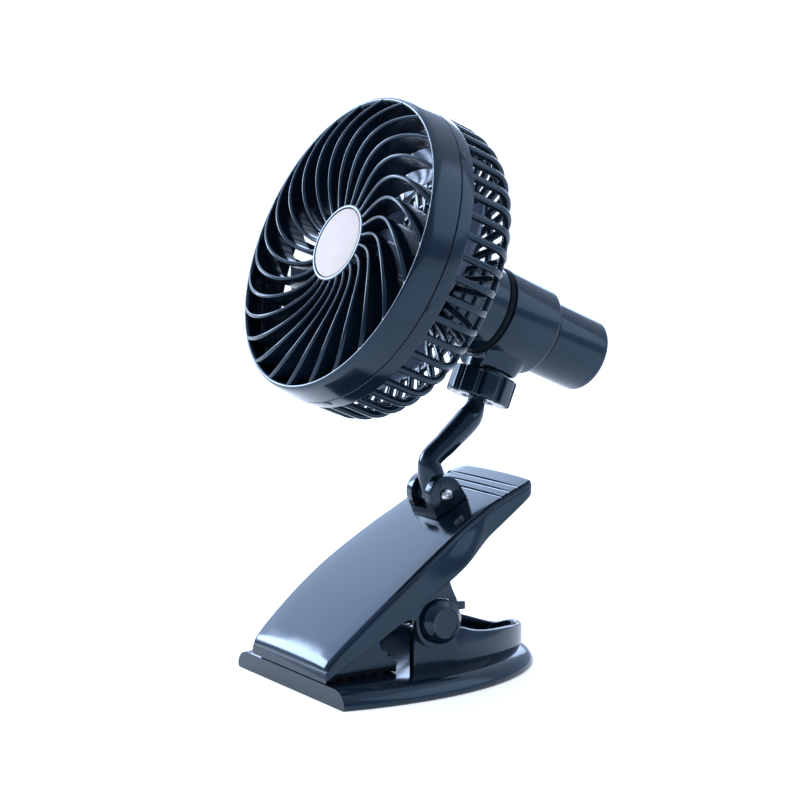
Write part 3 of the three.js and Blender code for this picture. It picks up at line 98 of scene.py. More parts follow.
class HeadSizes(bpy.types.PropertyGroup):
    centre_y: length("Centre, depth", "Middle of the front rim along Y", -30.25)
    centre_z: length("Centre, height", "Middle of the front rim above the table", 173.05)
    tilt: angle("Tilt", "How far the fan looks up", 22.84)
    rim_radius: length("Rim radius", "Outside of the front rim", 60)
    band_radius: length("Band radius", "Outside of the band at the seam", 61.7)
    band_wall: length("Band wall", "Thickness of the band", 2.4)
    seam: length("Seam", "Seam between the guards, behind the rim plane", 11.2)
    band_end: length("Band end", "Where the rear bars start", 17.6)
    vanes: number("Vanes", "Swept vanes of the front guard", 24)
    vane_thickness: length("Vane thickness", "Thickness of one vane", 1.6)
    vane_sweep: angle("Vane sweep", "Turn of a vane from the hub to the rim", 44.5)
    vane_bulge: length("Vane bulge", "How far the vanes stand forward", 5)
    vane_back: length("Vane back", "Rear edge of the vanes", 8.2)
    hub_radius: length("Hub radius", "Hub ring of the front guard", 15.8)
    hub_front: length("Hub front", "Front edge of the hub ring", 0.9)
    badge_radius: length("Badge radius", "White disc on the hub", 14.1)
    badge_thickness: length("Badge thickness", "Thickness of the white disc", 1.2)
    bars: number("Bars", "Bars of the rear guard", 46)
    bar_width: length("Bar width", "Width of a rear bar", 2.6)
    bar_depth: length("Bar depth", "Thickness of a rear bar", 2.4)
    shoulder: length("Shoulder", "Where the bars bend inwards", 29)
    back: length("Back", "Flat of the rear guard", 43.5)
    shoulder_drop: length("Shoulder drop", "Radius lost round the shoulder", 15.5)
    hoop_outer: length("Outer hoop", "Radius of the outer hoop on the back", 42)
    hoop_inner: length("Inner hoop", "Radius of the inner hoop on the back", 34)
    hoop_width: length("Hoop width", "Width of both hoops", 2.2)
    boss_radius: length("Boss radius", "Centre disc of the rear guard", 27)
    blades: number("Blades", "Blades of the fan wheel", 5)
    blade_radius: length("Blade radius", "Outside of the fan wheel", 54.5)
    blade_front: length("Blade front", "Front of the blades", 12.5)
    blade_depth: length("Blade depth", "Depth of the fan wheel", 19)
    wheel_hub: length("Wheel hub", "Hub radius of the fan wheel", 16.5)


class TubeSizes(bpy.types.PropertyGroup):
    neck_radius: length("Neck radius", "Neck behind the head", 18.2)
    neck_end: length("Neck end", "Rear edge of the neck", 74.2)
    wall: length("Wall", "Wall of the tubes", 2.1)
    seal_radius: length("Seal radius", "Rubber ring", 18.5)
    seal_width: length("Seal width", "Width of the rubber ring", 2.8)
    radius: length("Tube radius", "Control tube", 18.9)
    start: length("Tube start", "Front of the control tube", 77.3)
    bevel: length("Bevel", "Where the tube steps down", 100.8)
    step: length("Step", "Seam to the end tube", 103.8)
    end_radius: length("End radius", "End tube", 15.6)
    end: length("End", "Rear end of the tube", 131.4)
    button: length("Button", "Place of the power button", 84.5)
    button_radius: length("Button radius", "Power button", 3.9)
    port: length("Port", "Place of the charging socket", 94.5)
    lamp: length("Lamp", "Place of the charge lamp", 89.3)
    lamp_height: length("Lamp height", "Charge lamp above the tube's middle", 6)
    ball: length("Ball", "Ball joint along the tube", 87)
    ball_drop: length("Ball drop", "Ball joint below the tube's middle", 30)
    ball_radius: length("Ball radius", "Ball on the arm", 6.5)
    saddle_drop: length("Saddle drop", "Lower face of the saddle below the tube's middle", 22.4)
    saddle_half_length: length("Saddle half length", "Half of the saddle along the tube", 11.2)
    saddle_half_width: length("Saddle half width", "Half of the saddle across the tube", 10.4)
    nut_radius: length("Nut radius", "Over the nut's lobes", 13.6)
    nut_root: length("Nut root", "Between the nut's lobes", 12.1)
    nut_height: length("Nut height", "Height of the ring nut", 11.2)
    nut_lobes: number("Nut lobes", "Lobes round the nut", 9)


class ClipSizes(bpy.types.PropertyGroup):
    tilt_y: length("Arm hinge, depth", "Hinge of the arm along Y", 15.6)
    tilt_z: length("Arm hinge, height", "Hinge of the arm above the table", 71.1)
    barrel_radius: length("Barrel radius", "Barrel at the foot of the arm", 5.4)
    ear_radius: length("Ear radius", "Ears of the bracket", 7.7)
    ear_out: length("Ear faces", "Outer faces of the ears", 8.9)
    pivot_y: length("Clip hinge, depth", "Hinge of the jaws along Y", -2)
    pivot_z: length("Clip hinge, height", "Hinge of the jaws", 26.4)
    boss_radius: length("Boss radius", "Round bosses of the hinge", 8.8)
    boss_out: length("Boss face", "Outer face of the bosses", 35.4)
    jaw_front: length("Jaw front", "Front edge of the upper jaw", -52.3)
    jaw_rear: length("Jaw rear", "Rear edge of the upper jaw", 46.6)
    jaw_wall: length("Jaw wall", "Wall of the upper jaw", 2.4)
    jaw_skirt: length("Jaw skirt", "Depth of its side walls", 14.6)
    ear_in: length("Jaw ear, inside", "Inner face of its ears", 28.7)
    ear_outside: length("Jaw ear, outside", "Outer face of its ears", 31)
    base_half: length("Base half width", "Half of the lower jaw's width", 46)
    base_rear: length("Base rear", "Rear of the lower jaw", 58.2)
    base_thickness: length("Base thickness", "Thickness of the lower jaw", 7.3)
    cheek_out: length("Cheek face", "Outer faces of the cheeks", 28.4)
    cheek_wall: length("Cheek wall", "Thickness of the cheeks", 3)
    pad_half: length("Pad half width", "Half of the rubber pads' width", 26.2)
    wire_radius: length("Wire radius", "Spring wire", 0.9)
    coil_radius: length("Coil radius", "Middle of the spring's wire", 6)


class FanColours(bpy.types.PropertyGroup):
    shell: tone("Shell", "Glossy plastic of the guards, tube and clip", (0.0032, 0.0074, 0.0135))
    # The wheel's tone is partly the plastic's own colour and partly painted reflection: it is
    # lightened so that the blades look pale between the vanes, as lit glossy blades would.
    wheel: tone("Fan wheel", "Plastic of the fan wheel", (0.16, 0.20, 0.28))
    badge: tone("Badge", "Plain disc on the hub", (0.66, 0.57, 0.52))
    inner: tone("Inner plastic", "Dull plastic of the inner pieces", (0.016, 0.02, 0.028))
    rubber: tone("Rubber", "Seal and jaw pads", (0.0018, 0.0028, 0.0045))
    steel: tone("Steel", "Screws, pin and springs", (0.62, 0.64, 0.67))
    floor: tone("Floor", "Plain pale floor", (0.80, 0.80, 0.80))


GROUPS = {"fan_head": HeadSizes, "fan_tube": TubeSizes, "fan_clip": ClipSizes,
          "fan_colours": FanColours}


def in_mm(context, name):
    """The values of one group of sizes, lengths in millimetres."""
    group = getattr(context.scene, name)
    values = {}
    for prop in group.bl_rna.properties:
        if prop.type in {"FLOAT", "INT"}:
            value = getattr(group, prop.identifier)
            values[prop.identifier] = value / MM if prop.unit == "LENGTH" else value
    return SimpleNamespace(**values)


# ------------------------------------------------------------------ drawing helpers
def soften(points, closed=True, steps=5):
    """Rounds each corner that has a third value, which is how far out the round starts."""
    result = []
    count = len(points)
    for i, point in enumerate(points):
        here = Vector(point[:2])
        reach = point[2] if len(point) > 2 else 0
        if not reach or (not closed and i in (0, count - 1)):
            result.append(tuple(here))
            continue
        before = Vector(points[i - 1][:2]) - here
        after = Vector(points[(i + 1) % count][:2]) - here
        start = here + before.normalized() * min(reach, before.length * 0.48)
        end = here + after.normalized() * min(reach, after.length * 0.48)
        for k in range(steps + 1):
            t = k / steps
            result.append(tuple(start * (1 - t) ** 2 + here * 2 * t * (1 - t) + end * t * t))
    return result


def arc(cy, cz, radius, start, stop, steps):
    turns = [math.radians(start + (stop - start) * i / steps) for i in range(steps + 1)]
    return [(cy + radius * math.cos(t), cz + radius * math.sin(t)) for t in turns]


def polar(radius, along, turn):
    """A point round the fan's axis, with turn 0 at the top."""
    return (radius * math.sin(turn), along, radius * math.cos(turn))


def turned(profile, steps, closed=False):
    """Body of revolution about Y from (radius, place) pairs."""
    points, faces, rows = [], [], []
    for radius, along in profile:
        start = len(points)
        if radius < 1e-6:
            points.append((0, along, 0))
            rows.append([start] * steps)
        else:
            points += [polar(radius, along, TURN * i / steps) for i in range(steps)]
            rows.append(list(range(start, start + steps)))
    following = rows[1:] + rows[:1] if closed else rows[1:]
    for low, high in zip(rows, following):
        for i in range(steps):
            j = (i + 1) % steps
            corners = list(dict.fromkeys((low[i], low[j], high[j], high[i])))
            if len(corners) > 2:
                faces.append(corners)
    return points, faces


def lofted(rings, closed=False):
    """Body through a row of equally long rings."""
    count = len(rings[0])
    points = [tuple(p) for ring in rings for p in ring]
    faces = []
    pairs = len(rings) if closed else len(rings) - 1
    for i in range(pairs):
        a, b = i * count, ((i + 1) % len(rings)) * count
        for j in range(count):
            k = (j + 1) % count
            faces.append((a + j, a + k, b + k, b + j))
    if not closed:
        faces.append(tuple(range(count)))
        faces.append(tuple(range(len(points) - count, len(points))))
    return points, faces


def prism_x(outline, x0, x1):
    return lofted([[(x, y, z) for y, z in outline] for x in (x0, x1)])


def block(x0, x1, y0, y1, z0, z1):
    return prism_x([(y0, z0), (y1, z0), (y1, z1), (y0, z1)], x0, x1)


def rod_x(profile, y, z, steps=48, closed=False):
    """Turned body about a line along X from (radius, x) pairs."""
    points, faces = turned(profile, steps, closed)
    return [(b, y + a, z + c) for a, b, c in points], faces


def plain_rod(radius, x0, x1, y, z, steps=32):
    return rod_x([(0, x0), (radius, x0), (radius, x1), (0, x1)], y, z, steps)


def ball_profile(radius, count):
    """Half circle from pole to pole, to be turned into a ball."""
    outline = [(radius * math.cos(t), radius * math.sin(t))
               for t in np.linspace(-math.pi / 2, math.pi / 2, count)]
    outline[0], outline[-1] = (0, -radius), (0, radius)
    return outline


def soft_rectangle(half_width, half_height, reach):
    return soften([(-half_width, -half_height, reach), (half_width, -half_height, reach),
                   (half_width, half_height, reach), (-half_width, half_height, reach)])


def moved(form, matrix):
    points, faces = form
    return [tuple(matrix @ Vector(p)) for p in points], faces


def swept(path, radii, sides, axis):
    """Round tube along a path; axis is a direction that the path never runs along."""
    rings = []
    for i, here in enumerate(path):
        along = path[min(i + 1, len(path) - 1)] - path[max(i - 1, 0)]
        side = along.cross(axis).normalized()
        up = side.cross(along).normalized()
        rings.append([here + side * radii[i] * math.cos(TURN * j / sides)
                      + up * radii[i] * math.sin(TURN * j / sides) for j in range(sides)])
    return lofted(rings)


def spline(knots, count):
    """Evenly spaced points on a smooth curve through the knots."""
    ends = [knots[0] * 2 - knots[1], *knots, knots[-1] * 2 - knots[-2]]
    fine = []
    for i in range(len(knots) - 1):
        p0, p1, p2, p3 = ends[i:i + 4]
        t01, t12, t23 = (max((b - a).length, 1e-4) ** 0.5
                         for a, b in ((p0, p1), (p1, p2), (p2, p3)))
        m1 = (p1 - p0) / t01 - (p2 - p0) / (t01 + t12) + (p2 - p1) / t12
        m2 = (p2 - p1) / t12 - (p3 - p1) / (t12 + t23) + (p3 - p2) / t23
        for k in range(24):
            t = k / 24
            fine.append(p1 * (2 * t ** 3 - 3 * t * t + 1) + m1 * t12 * (t ** 3 - 2 * t * t + t)
                        + p2 * (3 * t * t - 2 * t ** 3) + m2 * t12 * (t ** 3 - t * t))
    fine.append(knots[-1])
    run = np.concatenate([[0], np.cumsum([(b - a).length for a, b in zip(fine, fine[1:])])])
    spots = np.linspace(0, run[-1], count + 1)
    return [Vector([np.interp(s, run, [p[k] for p in fine]) for k in range(3)]) for s in spots]


def curve_of(knots):
    """A smooth line y -> value through the knots."""
    count = len(knots)
    ys, values = [], []
    for s in np.linspace(0, count - 1, 40 * (count - 1) + 1):
        i = min(int(s), count - 2)
        w = s - i
        q = [Vector(knots[min(max(k, 0), count - 1)]) for k in (i - 1, i, i + 1, i + 2)]
        p = (q[1] * 2 + (q[2] - q[0]) * w + (q[0] * 2 - q[1] * 5 + q[2] * 4 - q[3]) * w * w
             + (q[3] - q[0] + (q[1] - q[2]) * 3) * w ** 3) / 2
        ys.append(p.x)
        values.append(p.y)
    return lambda y: float(np.interp(y, ys, values))


# ------------------------------------------------------------------ solids
def solid(name, forms, place=None):
    """One mesh object from closed forms that stay clear of each other."""
    mesh = bpy.data.meshes.new(name)
    points, faces = [], []
    for form_points, form_faces in forms:
        start = len(points)
        points += form_points
        faces += [tuple(start + i for i in face) for face in form_faces]
    place = place or Matrix.Identity(4)
    mesh.from_pydata([(place @ Vector(p)) * MM for p in points], [], faces)
    work = bmesh.new()
    work.from_mesh(mesh)
    bmesh.ops.remove_doubles(work, verts=work.verts, dist=1e-8)
    bmesh.ops.recalc_face_normals(work, faces=work.faces)
    work.to_mesh(mesh)
    work.free()
    item = bpy.data.objects.new(name, mesh)
    bpy.context.scene.collection.objects.link(item)
    return item


def settle(item):
    """Writes the object's modifiers into its mesh."""
    graph = bpy.context.evaluated_depsgraph_get()
    mesh = bpy.data.meshes.new_from_object(item.evaluated_get(graph))
    item.modifiers.clear()
    old = item.data
    item.data = mesh
    bpy.data.meshes.remove(old)
    return item


def rounded(item, width):
    """Rounds the object's sharp edges."""
    bevel = item.modifiers.new("edges", "BEVEL")
    bevel.width = width * MM
    bevel.segments = 3
    bevel.limit_method = "ANGLE"
    bevel.angle_limit = math.radians(EDGE_ANGLE)
    return settle(item)


def combine(item, kind, *others):
    """Joins, cuts or intersects the object with others, which are used up."""
    for other in others:
        tool = item.modifiers.new(kind, "BOOLEAN")
        tool.operation = kind
        tool.solver = "MANIFOLD"
        tool.object = other
    settle(item)
    for other in others:
        mesh = other.data
        bpy.data.objects.remove(other)
        bpy.data.meshes.remove(mesh)
    if not item.data.polygons:
        raise RuntimeError(f"{item.name} came out empty")
    return item


def dress(item, body, finish, slot, *nodes):
    """Shades the piece, gives it its finish and puts it on its body."""
    mesh = item.data
    mesh.name = item.name
    for face in mesh.polygons:
        face.use_smooth = True
    mesh.set_sharp_from_angle(angle=math.radians(SMOOTH_ANGLE))
    mesh.materials.clear()
    mesh.materials.append(finish)
    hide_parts(*nodes)
    if body:
        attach(item, body)


def head_place(head):
    return (Matrix.Translation((0, head.centre_y, head.centre_z))
            @ Matrix.Rotation(-head.tilt, 4, "X"))


def socket_place(head, tube):
    """The socket's own axis, with +Y pointing away from the fan's axis."""
    return (head_place(head) @ Matrix.Translation((0, tube.ball, -tube.ball_drop))
            @ Matrix.Rotation(-math.pi / 2, 4, "X"))


# ------------------------------------------------------------------ finishes
class Finish:
    """One procedural material, built up node by node."""

    def __init__(self, name):
        self.material = bpy.data.materials.get(name) or bpy.data.materials.new(name)
        self.material.use_nodes = True
        self.tree = self.material.node_tree
        self.tree.nodes.clear()
        self.output = self.tree.nodes.new("ShaderNodeOutputMaterial")
        self.shader = self.tree.nodes.new("ShaderNodeBsdfPrincipled")
        self.join(self.shader, "BSDF", self.output, "Surface")
        self.place = self.tree.nodes.new("ShaderNodeTexCoord")
        self.bump = None

    def join(self, source, output, target, socket):
        self.tree.links.new(source.outputs[output], target.inputs[socket])

    def values(self, **sockets):
        for name, value in sockets.items():
            self.shader.inputs[name.replace("_", " ")].default_value = value
        return self

    def noise(self, scale, detail, stretch=None):
        """Noise in the object's own space, at a scale in cycles per metre."""
        node = self.tree.nodes.new("ShaderNodeTexNoise")
        node.inputs["Scale"].default_value = scale
        node.inputs["Detail"].default_value = detail
        node.inputs["Roughness"].default_value = 0.55
        if stretch:
            mapping = self.tree.nodes.new("ShaderNodeMapping")
            mapping.inputs["Scale"].default_value = stretch
            self.join(self.place, "Object", mapping, "Vector")
            self.join(mapping, "Vector", node, "Vector")
        else:
            self.join(self.place, "Object", node, "Vector")
        return node

    def vary(self, socket, noise, low, high):
        """Lets a value of the shader follow a noise."""
        node = self.tree.nodes.new("ShaderNodeMapRange")
        for name, value in (("From Min", 0.3), ("From Max", 0.7), ("To Min", low),
                            ("To Max", high)):
            node.inputs[name].default_value = value
        self.join(noise, "Fac", node, "Value")
        self.join(node, "Result", self.shader, socket)
        return self

    def tint(self, noise, dark, light):
        """Lets the colour drift between two tones."""
        ramp = self.tree.nodes.new("ShaderNodeValToRGB")
        for element, colour, spot in zip(ramp.color_ramp.elements, (dark, light), (0.35, 0.65)):
            element.color = (*colour, 1)
            element.position = spot
        self.join(noise, "Fac", ramp, "Fac")
        self.join(ramp, "Color", self.shader, "Base Color")
        return self

    def relief(self, noise, depth, output="Fac"):
        """Adds bump of a depth in metres; several of them stack."""
        node = self.tree.nodes.new("ShaderNodeBump")
        node.inputs["Strength"].default_value = 1
        node.inputs["Distance"].default_value = depth
        self.join(noise, output, node, "Height")
        if self.bump:
            self.join(self.bump, "Normal", node, "Normal")
        self.bump = node
        self.join(node, "Normal", self.shader, "Normal")
        return self


def shade(colour, factor):
    return tuple(min(1.0, c * factor) for c in colour)


def gloss_plastic(name, colour, rough=0.13):
    """Moulded gloss plastic: slow waves from the mould, smears, dust and faint scuffs."""
    finish = Finish(name).values(IOR=1.52, Specular_Tint=(0.55, 0.78, 1.0, 1))
    finish.tint(finish.noise(28, 4), shade(colour, 0.8), shade(colour, 1.35))
    finish.vary("Roughness", finish.noise(60, 5, (1, 1, 2.2)), rough * 0.7, rough * 1.5)
    finish.relief(finish.noise(42, 2), 0.00006)
    finish.relief(finish.noise(1800, 2), 0.0000012)
    return finish.material


def dull_plastic(name, colour, rough=0.48):
    """Inner plastic with the fine grain of an unpolished mould."""
    finish = Finish(name).values(IOR=1.48)
    finish.tint(finish.noise(90, 4), shade(colour, 0.75), shade(colour, 1.3))
    finish.vary("Roughness", finish.noise(160, 4), rough - 0.08, rough + 0.1)
    finish.relief(finish.noise(2600, 3), 0.00001)
    return finish.material


def badge_plastic(colour):
    """White disc, nearly matt, with a little handling grime."""
    finish = Finish("badge_white").values(IOR=1.5, Specular_IOR_Level=0.12)
    finish.tint(finish.noise(140, 5), shade(colour, 0.97), shade(colour, 1.02))
    finish.vary("Roughness", finish.noise(220, 4), 0.5, 0.62)
    finish.relief(finish.noise(70, 2), 0.00002)
    return finish.material


def rubber(colour):
    finish = Finish("rubber").values(IOR=1.5, Specular_IOR_Level=0.15,
                                     Specular_Tint=(0.6, 0.8, 1.0, 1))
    finish.tint(finish.noise(120, 5), shade(colour, 0.8), shade(colour, 1.7))
    finish.vary("Roughness", finish.noise(300, 3), 0.6, 0.82)
    finish.relief(finish.noise(1500, 4), 0.00003)
    return finish.material


def bright_metal(name, colour, rough=0.22, stretch=(1, 1, 1)):
    """Plated metal with fine drawing marks."""
    finish = Finish(name).values(Metallic=1.0)
    finish.tint(finish.noise(260, 4), shade(colour, 0.82), shade(colour, 1.08))
    marks = finish.noise(700, 4, stretch)
    finish.vary("Roughness", marks, rough * 0.6, rough * 1.6)
    finish.relief(marks, 0.000006)
    return finish.material


def board_green():
    """Solder mask with copper tracks under it."""
    finish = Finish("board_green").values(IOR=1.5, Coat_Weight=0.5, Coat_Roughness=0.1)
    tracks = finish.tree.nodes.new("ShaderNodeTexBrick")
    tracks.inputs["Scale"].default_value = 420
    tracks.inputs["Mortar Size"].default_value = 0.03
    tracks.inputs["Color1"].default_value = (0.012, 0.12, 0.045, 1)
    tracks.inputs["Color2"].default_value = (0.016, 0.15, 0.055, 1)
    tracks.inputs["Mortar"].default_value = (0.05, 0.26, 0.09, 1)
    finish.join(finish.place, "Object", tracks, "Vector")
    finish.join(tracks, "Color", finish.shader, "Base Color")
    finish.vary("Roughness", finish.noise(300, 3), 0.3, 0.45)
    finish.relief(tracks, 0.00003, "Color")
    return finish.material


def lamp_clear():
    finish = Finish("lamp_clear").values(IOR=1.5, Transmission_Weight=0.6)
    finish.tint(finish.noise(400, 3), (0.75, 0.82, 0.88), (0.86, 0.92, 0.97))
    finish.vary("Roughness", finish.noise(500, 2), 0.08, 0.2)
    finish.relief(finish.noise(900, 2), 0.00001)
    return finish.material


def finishes(context):
    """Every finish of the fan by name, made once."""
    tones = context.scene.fan_colours
    plain = {name: tuple(getattr(tones, name)) for name in
             ("shell", "wheel", "badge", "inner", "rubber", "steel")}
    makers = {
        "shell": lambda: gloss_plastic("shell_gloss", plain["shell"]),
        # Painted reflection: the wheel's base colour is lightened to stand in for the light that
        # its gloss would reflect.
        "wheel": lambda: gloss_plastic("wheel_gloss", plain["wheel"], 0.2),
        "badge": lambda: badge_plastic(plain["badge"]),
        "inner": lambda: dull_plastic("inner_dull", plain["inner"]),
        "button": lambda: dull_plastic("button_satin", shade(plain["inner"], 1.6), 0.36),
        "rubber": lambda: rubber(plain["rubber"]),
        "steel": lambda: bright_metal("steel_bright", plain["steel"]),
        "drawn": lambda: bright_metal("steel_drawn", plain["steel"], 0.3, (6, 1, 1)),
        "brass": lambda: bright_metal("contact_brass", (0.55, 0.4, 0.16), 0.3),
        "cell": lambda: gloss_plastic("cell_wrap", (0.02, 0.12, 0.36), 0.3),
        "board": board_green,
        "lamp": lamp_clear,
    }
    store = {}
    for key, maker in makers.items():
        label = f"fan_finish_{key}"
        if label not in context.scene:
            context.scene[label] = maker().name
        store[key] = bpy.data.materials[context.scene[label]]
    return store


# ------------------------------------------------------------------ front guard
def vane(head, turn):
    steps = 26
    inner = head.hub_radius - 1.2
    outer = head.band_radius - head.band_wall + 0.4
    rings = []
    for i in range(steps + 1):
        share = i / steps
        r = inner + (outer - inner) * share
        mid = turn + head.vane_sweep * share ** 1.43
        slope = head.vane_sweep * 1.43 * share ** 0.43 * r / (outer - inner)
        half = head.vane_thickness / 2 * math.hypot(1, slope)
        front = (head.hub_front * (1 - share) + 0.1
                 - head.vane_bulge * math.sin(math.pi * share ** 1.5))
        section = [(-half * 0.8, head.vane_back)]
        for k in range(9):
            t = math.radians(-90 + 22.5 * k)
            section.append((half * math.sin(t), front + 0.9 * (1 - math.cos(t))))
        section.append((half * 0.8, head.vane_back))
        rings.append([polar(r, along, mid + s / r) for s, along in section])
    return lofted(rings)


def front_band(head):
    inner = head.band_radius - head.band_wall
    rim = head.rim_radius
    back = head.vane_back
    return turned(soften([
        (rim - 2.3, 0.75, 0.5), (rim - 1.5, -0.3, 0.7), (rim - 0.3, -0.3, 0.9),
        (rim + 0.45, 1.6, 1.6), (head.band_radius, head.seam, 0.35), (inner, head.seam),
        (inner, back + 0.3), (inner - 0.7, back, 0.3), (rim - 2.3, back - 1, 0.3)],
        steps=6), 240, closed=True)


def hub_form(head):
    floor = head.hub_front + head.badge_thickness + GAP
    seat = head.badge_radius + GAP
    r = head.hub_radius
    return turned(soften([
        (0, floor), (seat, floor), (seat, head.hub_front - 0.1, 0.25),
        (r, head.hub_front - 0.1, 0.7), (r, head.vane_back, 0.4), (0, head.vane_back)],
        closed=False), 144)


class FAN_OT_front_guard(bpy.types.Operator):
    """Build the front guard: swept vanes between the hub and the rim"""
    bl_idname = "fan.front_guard"
    bl_label = "Front guard"

    def execute(self, context):
        head = in_mm(context, "fan_head")
        look = finishes(context)
        place = head_place(head)
        guard = solid("front_guard", [front_band(head), hub_form(head)], place)
        vanes = solid("vanes", [vane(head, TURN * i / head.vanes)
                                for i in range(head.vanes)], place)
        dress(combine(guard, "UNION", vanes), "head", look["shell"], "gloss_shell",
              "front_grille")
        front = head.hub_front
        back = front + head.badge_thickness
        badge = solid("badge", [turned(soften([
            (0, front - 0.5), (head.badge_radius * 0.55, front - 0.42, 3),
            (head.badge_radius, front - 0.05, 0.6), (head.badge_radius, back), (0, back)],
            closed=False), 128)], place)
        dress(badge, "head", look["badge"], "white_badge", "badge_disc")
        return {"FINISHED"}


# ------------------------------------------------------------------ rear guard
def shoulder_point(head, turn, swell):
    """(radius, place) on the round shoulder that the bars bend over."""
    return (head.band_radius - BAR_SET_BACK - head.shoulder_drop * (1 - math.cos(turn) * swell),
            head.shoulder + (head.back - head.shoulder) * math.sin(turn) * swell)


def bar_path(head):
    """Places along a bar's outer face as (radius, place, lean of the face)."""
    outer = head.band_radius - BAR_SET_BACK
    path = [(outer - 0.6, head.band_end - 2.2, 0), (outer - 0.1, head.band_end - 0.3, 0),
            (outer, head.band_end + 0.5, 0), (outer, (head.band_end + head.shoulder) / 2, 0)]
    steps = 14
    for i in range(steps + 1):
        t = math.pi / 2 * i / steps
        path.append((*shoulder_point(head, t, 1 + 0.03 * math.sin(2 * t)), t))
    path += [(head.hoop_outer, head.back, math.pi / 2), (head.hoop_inner, head.back, math.pi / 2),
             (head.boss_radius - 1, head.back, math.pi / 2)]
    return path


def bar(head, turn):
    half, depth = head.bar_width / 2, head.bar_depth
    section = soften([(-half, 0, 0.9), (half, 0, 0.9), (half, depth, 0.5),
                      (-half, depth, 0.5)], steps=3)
    rings = []
    for r, along, lean in bar_path(head):
        ring = []
        for s, inwards in section:
            rr = r - inwards * math.cos(lean)
            ring.append(polar(rr, along - inwards * math.sin(lean), turn + s / rr))
        rings.append(ring)
    return lofted(rings)


def rear_rings(head):
    """The band's rear half, the shoulder hoop, both hoops on the back, the centre disc."""
    inner = head.band_radius - head.band_wall - 0.6
    start = head.seam + GAP
    yield turned(soften([
        (head.band_radius, start, 0.35), (head.band_radius, head.band_end, 0.6),
        (inner, head.band_end, 0.6), (inner, start)], steps=4), 240, closed=True)
    r, along = shoulder_point(head, math.radians(62), 1.025)
    wire = 1.3
    loop = [(r - 1.25 + wire * math.cos(t), along - 0.9 + wire * math.sin(t))
            for t in np.linspace(0, TURN, 16, endpoint=False)]
    yield turned(loop, 200, closed=True)
    back, deep, half = head.back - 0.06, 2.1, head.hoop_width / 2
    for r in (head.hoop_outer, head.hoop_inner):
        yield turned(soften([
            (r + half, back, 0.8), (r - half, back, 0.8), (r - half, back - deep, 0.5),
            (r + half, back - deep, 0.5)], steps=4), 160, closed=True)
    bore = 14.6
    yield turned(soften([
        (head.boss_radius, head.back + 0.8, 0.7), (bore, head.back + 0.8),
        (bore, head.back - head.bar_depth), (head.boss_radius, head.back - head.bar_depth, 0.7)],
        steps=4), 144, closed=True)


def seam_catch(head, turn):
    spot = Matrix.Rotation(turn, 4, "Y") @ Matrix.Translation(
        (0, head.seam + GAP + 1.6, head.band_radius - 0.1))
    return moved(block(-1.7, 1.7, -1.1, 1.1, -0.45, 0.45), spot)


class FAN_OT_rear_guard(bpy.types.Operator):
    """Build the rear guard: bars over a round shoulder, three hoops and the centre disc"""
    bl_idname = "fan.rear_guard"
    bl_label = "Rear guard"

    def execute(self, context):
        head = in_mm(context, "fan_head")
        place = head_place(head)
        rings = solid("rear_guard", rear_rings(head), place)
        bars = solid("bars", [bar(head, TURN * i / head.bars) for i in range(head.bars)], place)
        catches = rounded(solid("catches", [
            seam_catch(head, math.radians(48 + 60 * i)) for i in range(6)], place), 0.3)
        dress(combine(rings, "UNION", bars, catches), "head", finishes(context)["shell"],
              "gloss_shell", "rear_grille")
        return {"FINISHED"}


# ------------------------------------------------------------------ fan wheel and motor
def blade(head, turn):
    steps, across = 16, 12
    inner = head.wheel_hub - 1
    rings = []
    for i in range(steps + 1):
        share = i / steps
        r = inner + (head.blade_radius - inner) * share
        span = math.radians(54 + 12 * share) * (1 - 0.08 * share ** 6)
        lean = math.radians(16) * share
        depth = head.blade_depth * (1 - 0.3 * share)
        mid = head.blade_front + head.blade_depth / 2
        top, bottom = [], []
        for j in range(across + 1):
            u = j / across - 0.5
            turn_here = turn + lean + span * u
            along = mid - depth * u + 2.2 * (1 - 4 * u * u)
            thin = 0.75 * math.sqrt(max(1 - (2 * u) ** 4, 0.06))
            top.append(polar(r, along - thin, turn_here))
            bottom.insert(0, polar(r, along + thin, turn_here))
        rings.append(top + bottom)
    return lofted(rings)


def wheel_hub(head):
    front = head.blade_front - 1.5
    back = head.blade_front + head.blade_depth - 1
    r = head.wheel_hub
    return turned(soften([
        (0, front), (r, front, 3.6), (r, back, 0.4), (r - 2, back, 0.4),
        (r - 2, front + 3, 1), (4, front + 3, 0.5), (3.6, back - 4, 0.3), (1.05, back - 4),
        (1.05, front + 1.8), (0, front + 1.8)], closed=False, steps=8), 96)


class FAN_OT_wheel(bpy.types.Operator):
    """Build the fan wheel, the shaft and the motor"""
    bl_idname = "fan.wheel"
    bl_label = "Fan wheel and motor"

    def execute(self, context):
        head = in_mm(context, "fan_head")
        look = finishes(context)
        place = head_place(head)
        wheel = solid("fan_wheel_blades", [wheel_hub(head)], place)
        blades = solid("blades", [blade(head, TURN * i / head.blades)
                                  for i in range(head.blades)], place)
        # The wheel's finish carries a painted reflection in its lightened base colour.
        dress(combine(wheel, "UNION", blades), "fan_wheel", look["wheel"], "blade_plastic",
              "impeller")
        front, back, r, collar = 31.5, 53.5, 12, 3.1
        can = solid("motor_can", [turned(soften([
            (0, front - 1.3), (collar, front - 1.3, 0.3), (collar, front), (r, front, 1),
            (r, back, 1), (collar, back), (collar, back + 1.2, 0.3), (0, back + 1.2)],
            closed=False), 64)], place)
        dress(can, "head", look["drawn"], "motor_can", "motor")
        tip, tail, r = 13.1, 29.9, 1
        shaft = solid("shaft", [turned(soften([
            (0, tip), (r, tip, 0.2), (r, tail, 0.2), (0, tail)], closed=False), 32)], place)
        dress(shaft, "fan_wheel", look["steel"], "steel", "motor_shaft")
        return {"FINISHED"}


